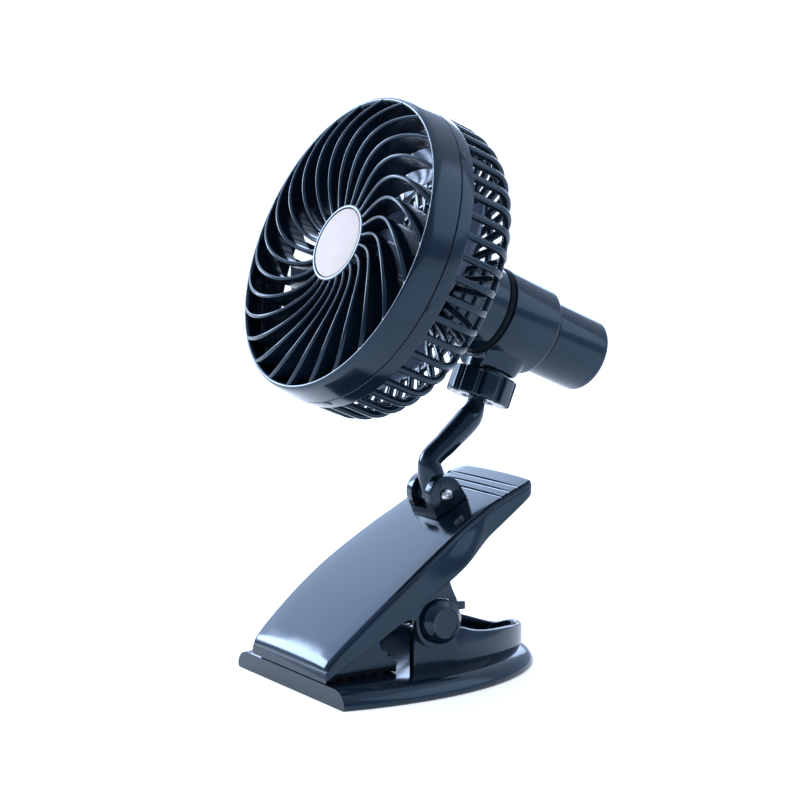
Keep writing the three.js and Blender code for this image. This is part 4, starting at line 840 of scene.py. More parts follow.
# ------------------------------------------------------------------ tube behind the head
def saddle_ring(tube, grow, drop):
    points = []
    for i in range(64):
        t = TURN * i / 64
        x, along = (math.copysign(abs(v) ** 0.7, v) for v in (math.cos(t), math.sin(t)))
        points.append(((tube.saddle_half_width + grow) * x,
                       tube.ball + (tube.saddle_half_length + grow * 1.2) * along, -drop))
    return points


def saddle(tube, place):
    """Block under the tube that carries the ball socket."""
    low = tube.saddle_drop
    drops = [(2.6, tube.radius - 7), (1.8, tube.radius - 3.5), (1.0, tube.radius - 1.2),
             (0.4, tube.radius + 0.4), (0, low - 1.6), (-0.25, low - 0.9), (-0.9, low - 0.3),
             (-2, low)]
    item = solid("saddle", [lofted([saddle_ring(tube, g, d) for g, d in drops])], place)
    front, rear, chamfer = tube.start + 0.01, tube.bevel + 1, 2.5 - tube.radius
    keep = solid("keep", [prism_x([(front, 0), (front, chamfer), (front + 8, -40),
                                   (rear, -40), (rear, 0)], -40, 40)], place)
    room = tube.radius - tube.wall + 0.3
    bore = solid("bore", [turned([(0, tube.start - 5), (room, tube.start - 5),
                                  (room, tube.bevel + 5), (0, tube.bevel + 5)], 128)], place)
    combine(item, "INTERSECT", keep)
    return combine(item, "DIFFERENCE", bore)


def ball_socket(head, tube):
    """Slotted cup that holds the ball, on its own axis."""
    place = socket_place(head, tube)
    top = tube.saddle_drop - tube.ball_drop - 3
    outside, mouth, inside = 9.4, 3.4, 8.1
    cup = solid("cup", [turned(soften([
        (0, top), (outside, top), (outside, mouth, 0.7), (0, mouth)], closed=False), 96)], place)
    ball = solid("ball", [turned(ball_profile(inside, 33), 96)], place)
    narrow, wide = 0.8, 20
    slots = [solid("slot", [block(-a, a, -2.1, 12, -b, b)], place)
             for a, b in ((wide, narrow), (narrow, wide))]
    return combine(cup, "DIFFERENCE", ball, *slots)


def tube_ring(profile, place, name):
    return solid(name, [turned(soften(profile), 160, closed=True)], place)


class FAN_OT_tube(bpy.types.Operator):
    """Build the neck, the rubber ring, the control tube and the end tube"""
    bl_idname = "fan.tube"
    bl_label = "Tube"

    def execute(self, context):
        head, tube = in_mm(context, "fan_head"), in_mm(context, "fan_tube")
        look = finishes(context)
        place = head_place(head)
        r = tube.neck_radius
        face = head.back + 0.8 + GAP
        bore, spigot, flange, wall = 12.3, 14.3, 25.8, 2.1
        nose, floor = 36, 54.9
        neck = tube_ring([
            (bore, nose), (spigot, nose, 0.4), (spigot, face), (flange, face),
            (flange, face + 2.4, 0.8), (r + 1, face + 2.4, 1.6), (r, face + 5.6, 2),
            (r, tube.neck_end, 0.35), (r - wall, tube.neck_end), (r - wall, floor),
            (bore, floor)], place, "neck")
        dress(neck, "head", look["shell"], "gloss_shell", "neck_housing")
        start, inside = tube.neck_end + 0.15, r - 3.4
        stop = start + tube.seal_width
        seal = tube_ring([(inside, start), (tube.seal_radius, start, 0.8),
                          (tube.seal_radius, stop, 0.8), (inside, stop)], place, "seal")
        dress(seal, "head", look["rubber"], "rubber", "seal_ring")
        self.control(head, tube, place, look)
        wall = tube.end_radius - tube.wall
        front = tube.step + GAP
        end = solid("end_cap_tube", [turned(soften([
            (0, tube.end), (tube.end_radius, tube.end, 2.3), (tube.end_radius, front, 0.3),
            (wall, front), (wall, tube.end - tube.wall), (0, tube.end - tube.wall)],
            closed=False, steps=8), 160)], place)
        dress(end, "head", look["shell"], "gloss_shell", "end_tube")
        return {"FINISHED"}

    def control(self, head, tube, place, look):
        inner = tube.radius - tube.wall
        lip = tube.end_radius - tube.wall + 0.2
        body = tube_ring([
            (inner, tube.start), (tube.radius, tube.start, 0.6), (tube.radius, tube.bevel, 0.5),
            (tube.end_radius + 0.35, tube.step, 0.4), (lip, tube.step), (lip, tube.step - 1.6),
            (inner, tube.bevel - 1.6)], place, "control_tube")
        combine(body, "UNION", saddle(tube, place), ball_socket(head, tube))
        out, into = -tube.radius - 5, -10
        bore = tube.button_radius + GAP
        well = [(0, out), (bore + 4.6, out), (bore + 0.5, -tube.radius + 0.3),
                (bore, -tube.radius + 0.9), (bore, into), (0, into)]
        wide, high = (half + GAP for half in PORT_HALF)
        mouth = solid("mouth", [prism_x([(tube.port + a, b) for a, b in soft_rectangle(
            wide, high, 1.3)], out, into)], place)
        eye = plain_rod(1.25, out, into, tube.lamp, tube.lamp_height, 48)
        combine(body, "DIFFERENCE", mouth, solid("well", [rod_x(well, tube.button, 0)], place),
                solid("eye", [eye], place))
        dress(body, "head", look["shell"], "gloss_shell", "control_housing")


class FAN_OT_controls(bpy.types.Operator):
    """Build the power button, the charging socket and the charge lamp"""
    bl_idname = "fan.controls"
    bl_label = "Controls"

    def execute(self, context):
        head, tube = in_mm(context, "fan_head"), in_mm(context, "fan_tube")
        look = finishes(context)
        place = head_place(head)
        r = tube.button_radius
        face = -tube.radius - 1.1
        button = solid("button_cap", [rod_x(soften([
            (0, face + 0.35), (r * 0.55, face + 0.2, 0.8), (r - 0.5, face, 0.4),
            (r, face + 0.6, 0.4), (r, -15.95, 0.2), (0, -15.95)], closed=False), tube.button, 0)],
            place)
        dress(button, "button", look["button"], "button_plastic", "power_button")
        outer, inner = -tube.radius + 0.5, -14.0
        outline = soft_rectangle(*PORT_HALF, 1.2)
        shell = solid("charge_socket", [prism_x(
            [(tube.port + a, b) for a, b in outline], outer, inner)], place)
        room = solid("room", [prism_x([(tube.port + a * 0.88, b * 0.7) for a, b in outline],
                                      outer - 1, inner - 1.2)], place)
        tongue = solid("tongue", [block(outer + 0.8, inner - 0.5, tube.port - 2.8,
                                        tube.port + 2.8, -0.35, 0.35)], place)
        combine(combine(shell, "DIFFERENCE", room), "UNION", tongue)
        dress(shell, "head", look["steel"], "steel", "charge_port")
        tip = -math.sqrt(tube.radius ** 2 - tube.lamp_height ** 2) - 0.2
        lamp = solid("lamp_lens", [rod_x(soften([
            (0, tip), (1.15, tip + 0.25, 0.5), (1.15, -14), (0, -14)], closed=False),
            tube.lamp, tube.lamp_height)], place)
        dress(lamp, "head", look["lamp"], "lamp", "charge_lamp")
        return {"FINISHED"}


# ------------------------------------------------------------------ ball joint
def nut_outline(tube, grow):
    points = []
    tooth = TURN / tube.nut_lobes
    for i in range(tube.nut_lobes):
        mid = (i + 0.5) * tooth
        for share, r in ((-0.43, tube.nut_root), (-0.34, tube.nut_radius),
                         (0.34, tube.nut_radius), (0.43, tube.nut_root)):
            t = mid + share * tooth
            radius = r + grow
            points.append((radius * math.cos(t), radius * math.sin(t), 1.1))
    return soften(points, steps=4)


class FAN_OT_ball_joint(bpy.types.Operator):
    """Build the ring nut and the plastic seat of the ball joint"""
    bl_idname = "fan.ball_joint"
    bl_label = "Ball joint"

    def execute(self, context):
        head, tube = in_mm(context, "fan_head"), in_mm(context, "fan_tube")
        look = finishes(context)
        place = socket_place(head, tube)
        top = tube.saddle_drop + 1 - tube.ball_drop
        bottom = top + tube.nut_height
        edge = [(-1.1, 0), (-0.5, 0.12), (-0.12, 0.5), (0, 1.1)]
        levels = [(grow, top + depth) for grow, depth in edge]
        levels += [(grow, bottom - depth) for grow, depth in reversed(edge)]
        nut = solid("collar_nut", [lofted([
            [(x, y, z) for x, z in nut_outline(tube, grow)] for grow, y in levels])], place)
        thread, floor = 9.75, 3.75
        bore = solid("bore", [turned(soften([
            (0, top - 1), (thread + 0.7, top - 1), (thread, top + 0.5), (thread, floor - 0.6),
            (thread - 0.8, floor), (6.4, floor, 0.3), (8.1, bottom + 1), (0, bottom + 1)],
            closed=False), 96)], place)
        dress(combine(nut, "DIFFERENCE", bore), "nut", look["shell"], "gloss_shell", "ring_nut")
        inner, outer = 6.8, 7.8
        spots = [math.radians(v) for v in np.linspace(-60, 22, 20)]
        seat = solid("seat_cup", [turned(
            [(inner * math.cos(t), inner * math.sin(t)) for t in spots]
            + [(outer * math.cos(t), outer * math.sin(t)) for t in reversed(spots)],
            72, closed=True)], place)
        dress(seat, "ball_collet", look["inner"], "inner_plastic", "ball_seat")
        return {"FINISHED"}


# ------------------------------------------------------------------ arm
def arm_path(head, tube, clip, count):
    ball = head_place(head) @ Vector((0, tube.ball, -tube.ball_drop))
    down = head_place(head).to_3x3() @ Vector((0, 0, -1))
    rise, run = ball.z - clip.tilt_z, ball.y - clip.tilt_y
    knots = [ball + down * (tube.ball_radius - 2), ball + down * (tube.ball_radius + 3.6)]
    for a, b in ((0.64, 0.66), (0.27, 0.49), (-0.085, 0.32)):
        knots.append(Vector((0, clip.tilt_y + run * a, clip.tilt_z + rise * b)))
    knots.append(Vector((0, clip.tilt_y - run * 0.06, clip.tilt_z + clip.barrel_radius * 1.25)))
    knots.append(Vector((0, clip.tilt_y, clip.tilt_z)))
    return ball, spline(knots, count)


def smoothstep(value, low, high):
    t = min(max((value - low) / (high - low), 0), 1)
    return t * t * (3 - 2 * t)


class FAN_OT_arm(bpy.types.Operator):
    """Build the bent arm with its ball and its hinge barrel"""
    bl_idname = "fan.arm"
    bl_label = "Arm"

    def execute(self, context):
        head, tube = in_mm(context, "fan_head"), in_mm(context, "fan_tube")
        clip = in_mm(context, "fan_clip")
        count = 90
        ball, path = arm_path(head, tube, clip, count)
        neck, radii = 3.6, []
        for i in range(count + 1):
            share = i / count
            swell = 4.95 + 0.35 * math.cos(share * math.pi * 2.1 - math.pi * 0.45)
            end = smoothstep(share, 0.7, 0.86)
            body = swell + (clip.barrel_radius - swell) * end
            radii.append(neck + (body - neck) * smoothstep(share, 0, 0.2))
        arm = solid("bent_arm", [swept(path, radii, 40, Vector((1, 0, 0)))])
        sphere = solid("ball", [moved(turned(ball_profile(tube.ball_radius, 41), 64),
                                      Matrix.Translation(ball))])
        half, r = 4.6, clip.barrel_radius
        barrel = solid("barrel", [rod_x(soften([
            (0, -half), (r, -half, 0.4), (r, half, 0.4), (0, half)], closed=False),
            clip.tilt_y, clip.tilt_z, 72)])
        combine(arm, "UNION", sphere, barrel)
        keep = clip.ear_radius + 0.6
        slabs = [solid("slab", [plain_rod(keep, a, b, clip.tilt_y, clip.tilt_z, 64)])
                 for a, b in ((half, 20), (-20, -half))]
        hole = solid("hole", [plain_rod(HINGE_HOLE, -20, 20, clip.tilt_y, clip.tilt_z)])
        combine(arm, "DIFFERENCE", *slabs, hole)
        dress(arm, "arm", finishes(context)["shell"], "gloss_shell", "arm")
        return {"FINISHED"}


# ------------------------------------------------------------------ upper jaw
JAW_TOP = curve_of([(-52.3, 14), (-44.5, 21.7), (-25, 37.3), (0, 54.0), (24, 67.8),
                    (46.6, 77.4)])
JAW_HALF = curve_of([(-52.3, 28.7), (-36, 30.4), (-18, 31), (2, 29), (18, 26.9),
                     (46.6, 26.7)])
CROWN = 0.6


def jaw_half(clip, y):
    corner = 4
    start = clip.jaw_rear - corner
    if y <= start:
        return JAW_HALF(y)
    return JAW_HALF(y) - corner + math.sqrt(max(corner ** 2 - (y - start) ** 2, 0.05))


def jaw_low(clip, y):
    """Lower edge of the upper jaw's side walls."""
    reach = 65.5 if y < clip.pivot_y else 60.5
    return JAW_TOP(y) - clip.jaw_skirt * (1 - ((y - clip.pivot_y) / reach) ** 2)


def end_drop(clip, y):
    """How far the top sinks where it rolls over the front and the rear edge."""
    drop = 0
    for across, radius in ((y - clip.jaw_front, 2.0), (clip.jaw_rear - y, 1.6)):
        if across < radius:
            drop += radius - math.sqrt(max(radius ** 2 - (radius - across) ** 2, 0))
    return drop


def jaw_section(clip, y, inset, deeper, edge):
    half = jaw_half(clip, y) - inset
    top = JAW_TOP(y) - inset - (0 if inset else end_drop(clip, y))
    bottom = jaw_low(clip, y) - deeper
    flare = smoothstep(y, -44, -26) * (1 - smoothstep(y, 8, 26))
    foot = half + max(clip.ear_outside - inset - half, 0) * flare
    side = [(foot - 0.5, bottom), (foot, bottom + 0.5)]
    for k in range(1, 7):
        share = k / 6
        side.append((foot + (half - foot) * share ** 1.6,
                     bottom + 0.5 + (top - edge - bottom - 0.5) * share))
    for k in range(1, 7):
        t = math.pi / 2 * k / 6
        side.append((half - edge + edge * math.cos(t), top - edge + edge * math.sin(t)))
    side += [(half * 0.66, top + CROWN * 0.55), (half * 0.33, top + CROWN * 0.88)]
    left = [(-x, z) for x, z in reversed(side)]
    return [(x, y, z) for x, z in side + [(0, top + CROWN)] + left]


def jaw_form(clip, inset, deeper, start, stop, edge):
    """Shell of the upper jaw; its stations crowd together at both ends."""
    roll = 3.2
    ends = [roll * (1 - math.cos(math.pi / 2 * k / 8)) for k in range(9)]
    ys = [start + e for e in ends]
    ys += list(np.linspace(start + roll, stop - roll, 56))[1:-1]
    ys += [stop - e for e in reversed(ends)]
    return lofted([jaw_section(clip, y, inset, deeper, edge) for y in ys])


def ear_span(clip, side):
    """Both faces of one ear along X."""
    x0 = clip.ear_in if side > 0 else -clip.ear_outside
    return x0, x0 + clip.ear_outside - clip.ear_in


def jaw_ear(clip, side):
    y, z = clip.pivot_y, clip.pivot_z
    outline = [(-23.5, 25.6, 1.2), (-19.5, 28.0, 2), (-16.8, 28.7, 1.5), (-14.6, 28.2, 1)]
    outline += arc(y, z, 11, 172, 252, 24) + arc(y, z, clip.boss_radius + 0.35, 252, 22, 48)
    outline += [(7.2, 31.2), (5.0, 36.0, 2), (3.2, 39.6, 1.6)]
    outline += [(b, jaw_low(clip, b) + 0.7) for b in np.linspace(2.6, -24, 24)]
    return prism_x(soften(outline, steps=4), *ear_span(clip, side))


def stop_lug(clip, side):
    """Small block on the ear's rear edge, above the boss."""
    y, z = clip.pivot_y + clip.boss_radius, clip.pivot_z + 3.4
    return block(*ear_span(clip, side), y, y + 3.1, z, z + 3.2)


def grip(clip):
    """Solid nose of the upper jaw over its pad, stepped behind."""
    floor = 10.3
    steps = []
    for i in range(3):
        y = PAD_REAR - i * 2.2
        steps += [(y, floor + i * 2.0), (y - 0.3, floor + (i + 1) * 2.0)]
    roof = [(y, JAW_TOP(y) - 1.0) for y in (-30, -38, -46, -50.5)]
    half = clip.pad_half + 0.6
    return prism_x([(clip.jaw_front + 1.2, floor), *steps, (-26.5, 17.5), *roof], -half, half)


def ribbed_pad(clip, front, rear, low, top):
    rib = 2.6
    points = [(front, top), (front, low + 0.6, 0.4)]
    for i in range(int((rear - front) / (2 * rib))):
        y = front + 1 + i * 2 * rib
        points += [(y, low, 0.3), (y + rib, low, 0.3), (y + rib + 0.4, low + 0.9, 0.25),
                   (y + 2 * rib - 0.4, low + 0.9, 0.25)]
    points += [(rear - 0.3, low, 0.2), (rear, low + 0.4), (rear, top)]
    return prism_x(soften(points, steps=3), -clip.pad_half, clip.pad_half)


class FAN_OT_upper_jaw(bpy.types.Operator):
    """Build the upper jaw with its ears, thumb grooves and ribbed pad"""
    bl_idname = "fan.upper_jaw"
    bl_label = "Upper jaw"

    def execute(self, context):
        clip = in_mm(context, "fan_clip")
        look = finishes(context)
        front, rear = clip.jaw_front, clip.jaw_rear
        jaw = solid("clip_handle", [jaw_form(clip, 0, 0, front, rear, 2.5)])
        wall = clip.jaw_wall
        room = solid("room", [jaw_form(clip, wall, 8, front + wall, rear - 3, 1.2)])
        combine(jaw, "DIFFERENCE", room)
        ears = rounded(solid("ears", [jaw_ear(clip, 1), jaw_ear(clip, -1)]), 0.4)
        lugs = rounded(solid("lugs", [stop_lug(clip, 1), stop_lug(clip, -1)]), 0.4)
        combine(jaw, "UNION", ears, lugs, solid("grip", [grip(clip)]))
        first, pitch, grooves = 31.0, 3.9, []
        for i in range(3):
            y = first + pitch * i
            z = JAW_TOP(y) + CROWN - 0.2
            grooves.append(solid("groove", [rod_x(soften([
                (0, -25), (1.0, -24.2, 0.6), (1.0, 24.2, 0.6), (0, 25)], closed=False), y, z, 32)]))
        lip = solid("lip", [block(-60, 60, front - 1, front + 0.55, 12.0, 12.8)])
        combine(jaw, "DIFFERENCE", *grooves, lip)
        dress(jaw, "clip_lever", look["shell"], "gloss_shell", "upper_jaw")
        pad = solid("upper_grip_pad", [ribbed_pad(clip, front + 2.4, PAD_REAR, 7.7, 10.0)])
        dress(pad, "clip_lever", look["rubber"], "rubber", "upper_jaw_pad")
        return {"FINISHED"}


# ------------------------------------------------------------------ arm bracket and screws
SLOPE = math.atan2(JAW_TOP(21.6) - JAW_TOP(15.6), 6)
JAW_NORMAL = Vector((-math.sin(SLOPE), math.cos(SLOPE)))
JAW_RUN = Vector((math.cos(SLOPE), math.sin(SLOPE)))


def pan_screw(radius, head_radius, under, tip, height):
    """Screw about Y and the cross to cut from it: the head stands towards +Y above under."""
    shank = turned(soften([
        (0, tip), (radius, tip + 0.3, 0.2), (radius, under), (head_radius, under, 0.15),
        (head_radius, under + height * 0.45, 0.5), (head_radius * 0.6, under + height, 0.8),
        (0, under + height)], closed=False), 48)
    arm, half, deep = head_radius * 0.58, head_radius * 0.12, under + height * 0.3
    top = under + height + 1
    cross = []
    for long, short in ((arm, half), (half, arm)):
        cross.append(lofted([
            [(sx * long * g, y, sz * short * g) for sx, sz in ((-1, -1), (1, -1), (1, 1), (-1, 1))]
            for y, g in ((deep, 0.6), (top, 1.25))]))
    return shank, cross


def screw(name, place, body, node, look, *sizes):
    shank, cross = pan_screw(*sizes)
    item = solid(name, [shank], place)
    combine(item, "DIFFERENCE", *[solid("cross", [form], place) for form in cross])
    dress(item, body, look, "steel", node)


class FAN_OT_bracket(bpy.types.Operator):
    """Build the arm's bracket, its hinge screw and nut, and all small screws"""
    bl_idname = "fan.bracket"
    bl_label = "Bracket and screws"

    def execute(self, context):
        clip, head = in_mm(context, "fan_clip"), in_mm(context, "fan_head")
        look = finishes(context)
        hinge = Vector((clip.tilt_y, clip.tilt_z))
        self.bracket(clip, hinge, look)
        out = clip.ear_out
        along_x = Matrix.Translation((0, clip.tilt_y, clip.tilt_z)) @ Matrix.Rotation(
            -math.pi / 2, 4, "Z")
        screw("hinge_pan_screw", along_x, "clip_lever", "hinge_screw", look["steel"],
              1.5, 2.7, out + GAP, -out + 0.2, 1.7)
        inner = -out + 1.3
        hexagon = solid("hinge_hex_nut", [rod_x([
            (0, inner - 2), (2.7, inner - 2), (3, inner - 1.7), (3, inner - 0.3), (2.7, inner),
            (0, inner)], clip.tilt_y, clip.tilt_z, 6)])
        bore = solid("bore", [plain_rod(1.55, -30, 30, clip.tilt_y, clip.tilt_z)])
        dress(combine(hexagon, "DIFFERENCE", bore), "clip_lever", look["steel"], "steel",
              "hinge_nut")
        for i, end in enumerate(("front", "rear")):
            y = clip.tilt_y - JAW_NORMAL.x * 6.2 + JAW_RUN.x * 12.4 * (i - 0.5)
            lean = Matrix.Translation((0, y, JAW_TOP(y))) @ Matrix.Rotation(
                SLOPE - math.pi / 2, 4, "X")
            screw(f"foot_screw_{end}", lean, "clip_lever", f"bracket_screw_{end}",
                  look["steel"], 1.25, 2.3, clip.jaw_wall + GAP, -2.6, 1.4)
        for i in range(3):
            t = math.radians(90 + 120 * i)
            spot = head_place(head) @ Matrix.Translation((22 * math.cos(t), 0, 22 * math.sin(t)))
            screw(f"flange_screw_{i + 1}", spot, "head", f"neck_screw_{i + 1}",
                  look["steel"], 1.3, 2.4, 47.3, 41.1, 1.5)
        return {"FINISHED"}

    def bracket(self, clip, hinge, look):
        foot, rise, sink = 8.4, 3.2, 0.1
        rest = hinge - JAW_NORMAL * 7.4

        def spot(run, up):
            return tuple(rest + JAW_RUN * run + JAW_NORMAL * up)

        seat = max((JAW_TOP(spot(s, 0)[0]) + CROWN - spot(s, 0)[1]) * math.cos(SLOPE)
                   for s in (-foot, 0, foot)) - sink
        lean = math.degrees(SLOPE)
        outline = [spot(-foot, seat), spot(foot, seat), (*spot(foot - 0.4, rise), 1.2)]
        outline += arc(*hinge, clip.ear_radius, lean + 4, lean + 176, 40)
        outline += [(*spot(-foot + 0.4, rise), 1.2)]
        item = rounded(solid("tilt_bracket", [prism_x(soften(outline), -clip.ear_out,
                                                      clip.ear_out)]), 0.5)
        slot, room = 4.9, clip.barrel_radius + 0.4
        clear = solid("clear", [plain_rod(room, -slot, slot, *hinge, 64)])
        low = hinge - JAW_NORMAL * 2.2
        corners = [tuple(low + JAW_RUN * s + JAW_NORMAL * up)
                   for s, up in ((-20, 0), (20, 0), (20, 30), (-20, 30))]
        way = solid("way", [prism_x(corners, -slot, slot)])
        through = solid("through", [plain_rod(HINGE_HOLE, -20, 20, *hinge)])
        pocket = solid("pocket", [plain_rod(3.4, -20, -clip.ear_out + 1.6, *hinge, 6)])
        combine(item, "DIFFERENCE", clear, way, through, pocket)
        dress(item, "clip_lever", look["shell"], "gloss_shell", "arm_bracket")


# ------------------------------------------------------------------ lower jaw
def base_outline(clip, inset):
    middle, front, back, bow = -15, -52, clip.base_rear, 84
    half = clip.base_half - inset
    rear = back - middle - inset
    side = []
    for i in range(24):
        y = (front - middle) * (1 - i / 24)
        side.append((half * math.sqrt(1 - (y / bow) ** 2), middle + y))
    for i in range(60):
        t = math.pi / 2 * i / 60
        side.append((half * math.cos(t), middle + rear * math.sin(t)))
    return side + [(0, middle + rear)] + [(-x, y) for x, y in reversed(side)]


def base_form(clip):
    t = clip.base_thickness
    levels = soften([(0.8, 0), (0, 0.8, 0.5), (0, t * 0.3, 0.6), (0.6, t * 0.5, 0.8),
                     (2.2, t * 0.76, 1), (4.6, t * 0.94, 1.2), (7.4, t)], closed=False)
    levels += [(14, t)]
    return lofted([[(x, y, z) for x, y in base_outline(clip, inset)] for inset, z in levels])


def tray_line(clip, inset):
    """Plan of the cheeks and of the wall that joins them behind."""
    half = clip.cheek_out - inset
    bend, rear, power = 9, 57 - inset, 2 / 1.75
    side = [(half, y) for y in np.arange(-12.6, bend, 0.6)]
    for i in range(48):
        t = math.pi / 2 * i / 48
        side.append((half * math.cos(t) ** power, bend + (rear - bend) * math.sin(t) ** power))
    return side + [(0, rear)] + [(-x, y) for x, y in reversed(side)]


CREST_NEAR = curve_of([(7, 22.6), (12, 21.5), (16.6, 20), (23.4, 18.7), (29.5, 18),
                       (35, 17.5), (40.4, 17), (46.2, 16), (53, 14.7), (57, 14)])
CREST_FAR = curve_of([(7, 22.6), (12, 21.5), (20, 19.8), (30, 17.6), (37, 16), (43.6, 14.2),
                      (48, 12.8), (51, 12), (54, 12), (57, 14)])


def crest(clip, x, y):
    """Height of the cheeks and of the tray wall, which dips on the far side."""
    radius = clip.boss_radius + 0.6
    across = y - clip.pivot_y
    if y < clip.pivot_y and across < -radius * 0.97:
        return 23.0
    if across < radius * 0.97:
        return clip.pivot_z + math.sqrt(max(radius ** 2 - across ** 2, 0))
    return CREST_NEAR(y) if x > 0 else CREST_FAR(y)


def tray_form(clip):
    outer = tray_line(clip, 0)
    inner = tray_line(clip, clip.cheek_wall)
    rings = []
    low = clip.base_thickness - 1
    for (ax, ay), (bx, by) in zip(outer, inner):
        top = crest(clip, ax, ay)
        a, b = Vector((ax, ay, 0)), Vector((bx, by, 0))
        ring = [(*a.xy, low)]
        for k in range(7):
            t = math.pi * k / 6
            mix = a.lerp(b, 0.5 - 0.5 * math.cos(t) if k not in (0, 6) else k / 6)
            drop = 0.8 * (1 - math.sin(t))
            ring.append((mix.x, mix.y, top - drop))
        ring.append((*b.xy, low))
        rings.append(ring)
    return lofted(rings)


def pivot_boss(clip, side):
    r, out = clip.boss_radius, clip.boss_out
    start = clip.cheek_out - clip.cheek_wall + 0.4
    profile = soften([(0, start), (r, start), (r, out - 2.4, 1.2), (r - 2.5, out - 0.4, 1.4),
                      (r - 2.8, out, 0.5), (r - 3.2, out, 0.3), (r - 3.5, out - 0.3, 0.2),
                      (0, out - 0.3)], closed=False)
    return rod_x([(a, side * b) for a, b in profile], clip.pivot_y, clip.pivot_z, 96)


class FAN_OT_lower_jaw(bpy.types.Operator):
    """Build the lower jaw with its cheeks, tray and bosses, and its pad"""
    bl_idname = "fan.lower_jaw"
    bl_label = "Lower jaw"

    def execute(self, context):
        clip = in_mm(context, "fan_clip")
        look = finishes(context)
        t = clip.base_thickness
        base = solid("clip_base", [base_form(clip)])
        plan = [(x, max(y, -49)) for x, y in base_outline(clip, 7.9)]
        room = solid("room", [lofted([[(x, y, z) for x, y in plan] for z in (-5, t - 2.5)])])
        rib = solid("rib", [block(-4.5, 4.5, -90, 90, -6, 20)])
        combine(room, "DIFFERENCE", rib)
        combine(base, "DIFFERENCE", room)
        bosses = solid("bosses", [pivot_boss(clip, 1), pivot_boss(clip, -1)])
        combine(base, "UNION", solid("tray", [tray_form(clip)]), bosses)
        half = clip.pad_half + GAP
        pocket = solid("pocket", [block(-half, half, -47.6, -19.9, t - 0.9, t + 5)])
        combine(base, "DIFFERENCE", pocket)
        dress(base, "base", look["shell"], "gloss_shell", "lower_jaw")
        pad = rounded(solid("lower_grip_pad", [block(
            -clip.pad_half, clip.pad_half, -47.3, -20.2, t - 0.85, t + 0.1)]), 0.3)
        dress(pad, "base", look["rubber"], "rubber", "lower_jaw_pad")
        return {"FINISHED"}


# ------------------------------------------------------------------ hinge and spring
def spring_line(clip):
    """Middle of the wire: one leg on the tray's floor, the turns, one leg under the handle."""
    run = SPRING_TURNS * SPRING_PITCH
    wire = clip.wire_radius
    floor = Vector((-run / 2, 24, clip.base_thickness + wire + GAP))
    roof = Vector((run / 2, 15, JAW_TOP(15) - clip.jaw_wall - wire - 0.9))
    total = SPRING_TURNS * 360 + 130
    steps = round(total / 360 * 32)
    coil = []
    for i in range(steps + 1):
        share = i / steps
        t = math.radians(-95 - total * share)
        coil.append(Vector((-run / 2 + run * share, clip.pivot_y + clip.coil_radius * math.cos(t),
                            clip.pivot_z + clip.coil_radius * math.sin(t))))
    lead = [floor.lerp(coil[0], k / 10) for k in range(10)]
    tail = [coil[-1].lerp(roof, (k + 1) / 10) for k in range(10)]
    return lead + coil + tail


class FAN_OT_hinge(bpy.types.Operator):
    """Build the hinge pin, its sleeve and the wound spring"""
    bl_idname = "fan.hinge"
    bl_label = "Hinge and spring"

    def execute(self, context):
        clip = in_mm(context, "fan_clip")
        look = finishes(context)
        spot = (clip.pivot_y, clip.pivot_z)
        end = clip.cheek_out + 1.2
        pin = solid("hinge_pin", [rod_x(soften([
            (0, -end), (2, -end, 0.4), (2, end, 0.4), (0, end)], closed=False), *spot)])
        dress(pin, "base", look["steel"], "steel", "pivot_pin")
        half = clip.cheek_out - clip.cheek_wall - GAP
        sleeve = solid("pin_sleeve", [rod_x(soften([
            (2.15, -half), (4.7, -half, 0.3), (4.7, half, 0.3), (2.15, half)]), *spot, 64,
            closed=True)])
        dress(sleeve, "base", look["inner"], "inner_plastic", "spring_sleeve")
        line = spring_line(clip)
        wire = solid("clip_spring", [swept(line, [clip.wire_radius] * len(line), 12,
                                           Vector((1, 0, 0)))])
        dress(wire, None, look["drawn"], "steel", "torsion_spring")
        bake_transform(wire)
        return {"FINISHED"}


# ------------------------------------------------------------------ pieces that stay
class FAN_OT_inner(bpy.types.Operator):
    """Give the pieces inside the tube their finishes"""
    bl_idname = "fan.inner"
    bl_label = "Inner pieces"

    def execute(self, context):
        look = finishes(context)
        plan = {"battery_cell": "cell", "battery_cradle": "inner", "contact_plate": "brass",
                "contact_holder": "inner", "contact_spring": "drawn", "circuit_board": "board"}
        for node, key in plan.items():
            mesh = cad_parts[node].data
            mesh.materials.clear()
            mesh.materials.append(look[key])
        return {"FINISHED"}


# ------------------------------------------------------------------ studio
def softbox(name, spot, aim, size, power, colour):
    light = bpy.data.lights.new(name, "AREA")
    light.shape = "RECTANGLE"
    light.size, light.size_y = size
    light.energy = power
    light.color = colour
    item = bpy.data.objects.new(name, light)
    item.location = spot
    item.rotation_euler = (Vector(spot) - Vector(aim)).to_track_quat("Z", "Y").to_euler()
    item.visible_camera = False
    bpy.context.scene.collection.objects.link(item)


def emitter(name, colour, strength):
    material = bpy.data.materials.new(name)
    material.use_nodes = True
    tree = material.node_tree
    tree.nodes.clear()
    glow = tree.nodes.new("ShaderNodeEmission")
    glow.inputs["Color"].default_value = (*colour, 1)
    glow.inputs["Strength"].default_value = strength
    output = tree.nodes.new("ShaderNodeOutputMaterial")
    tree.links.new(glow.outputs["Emission"], output.inputs["Surface"])
    return material


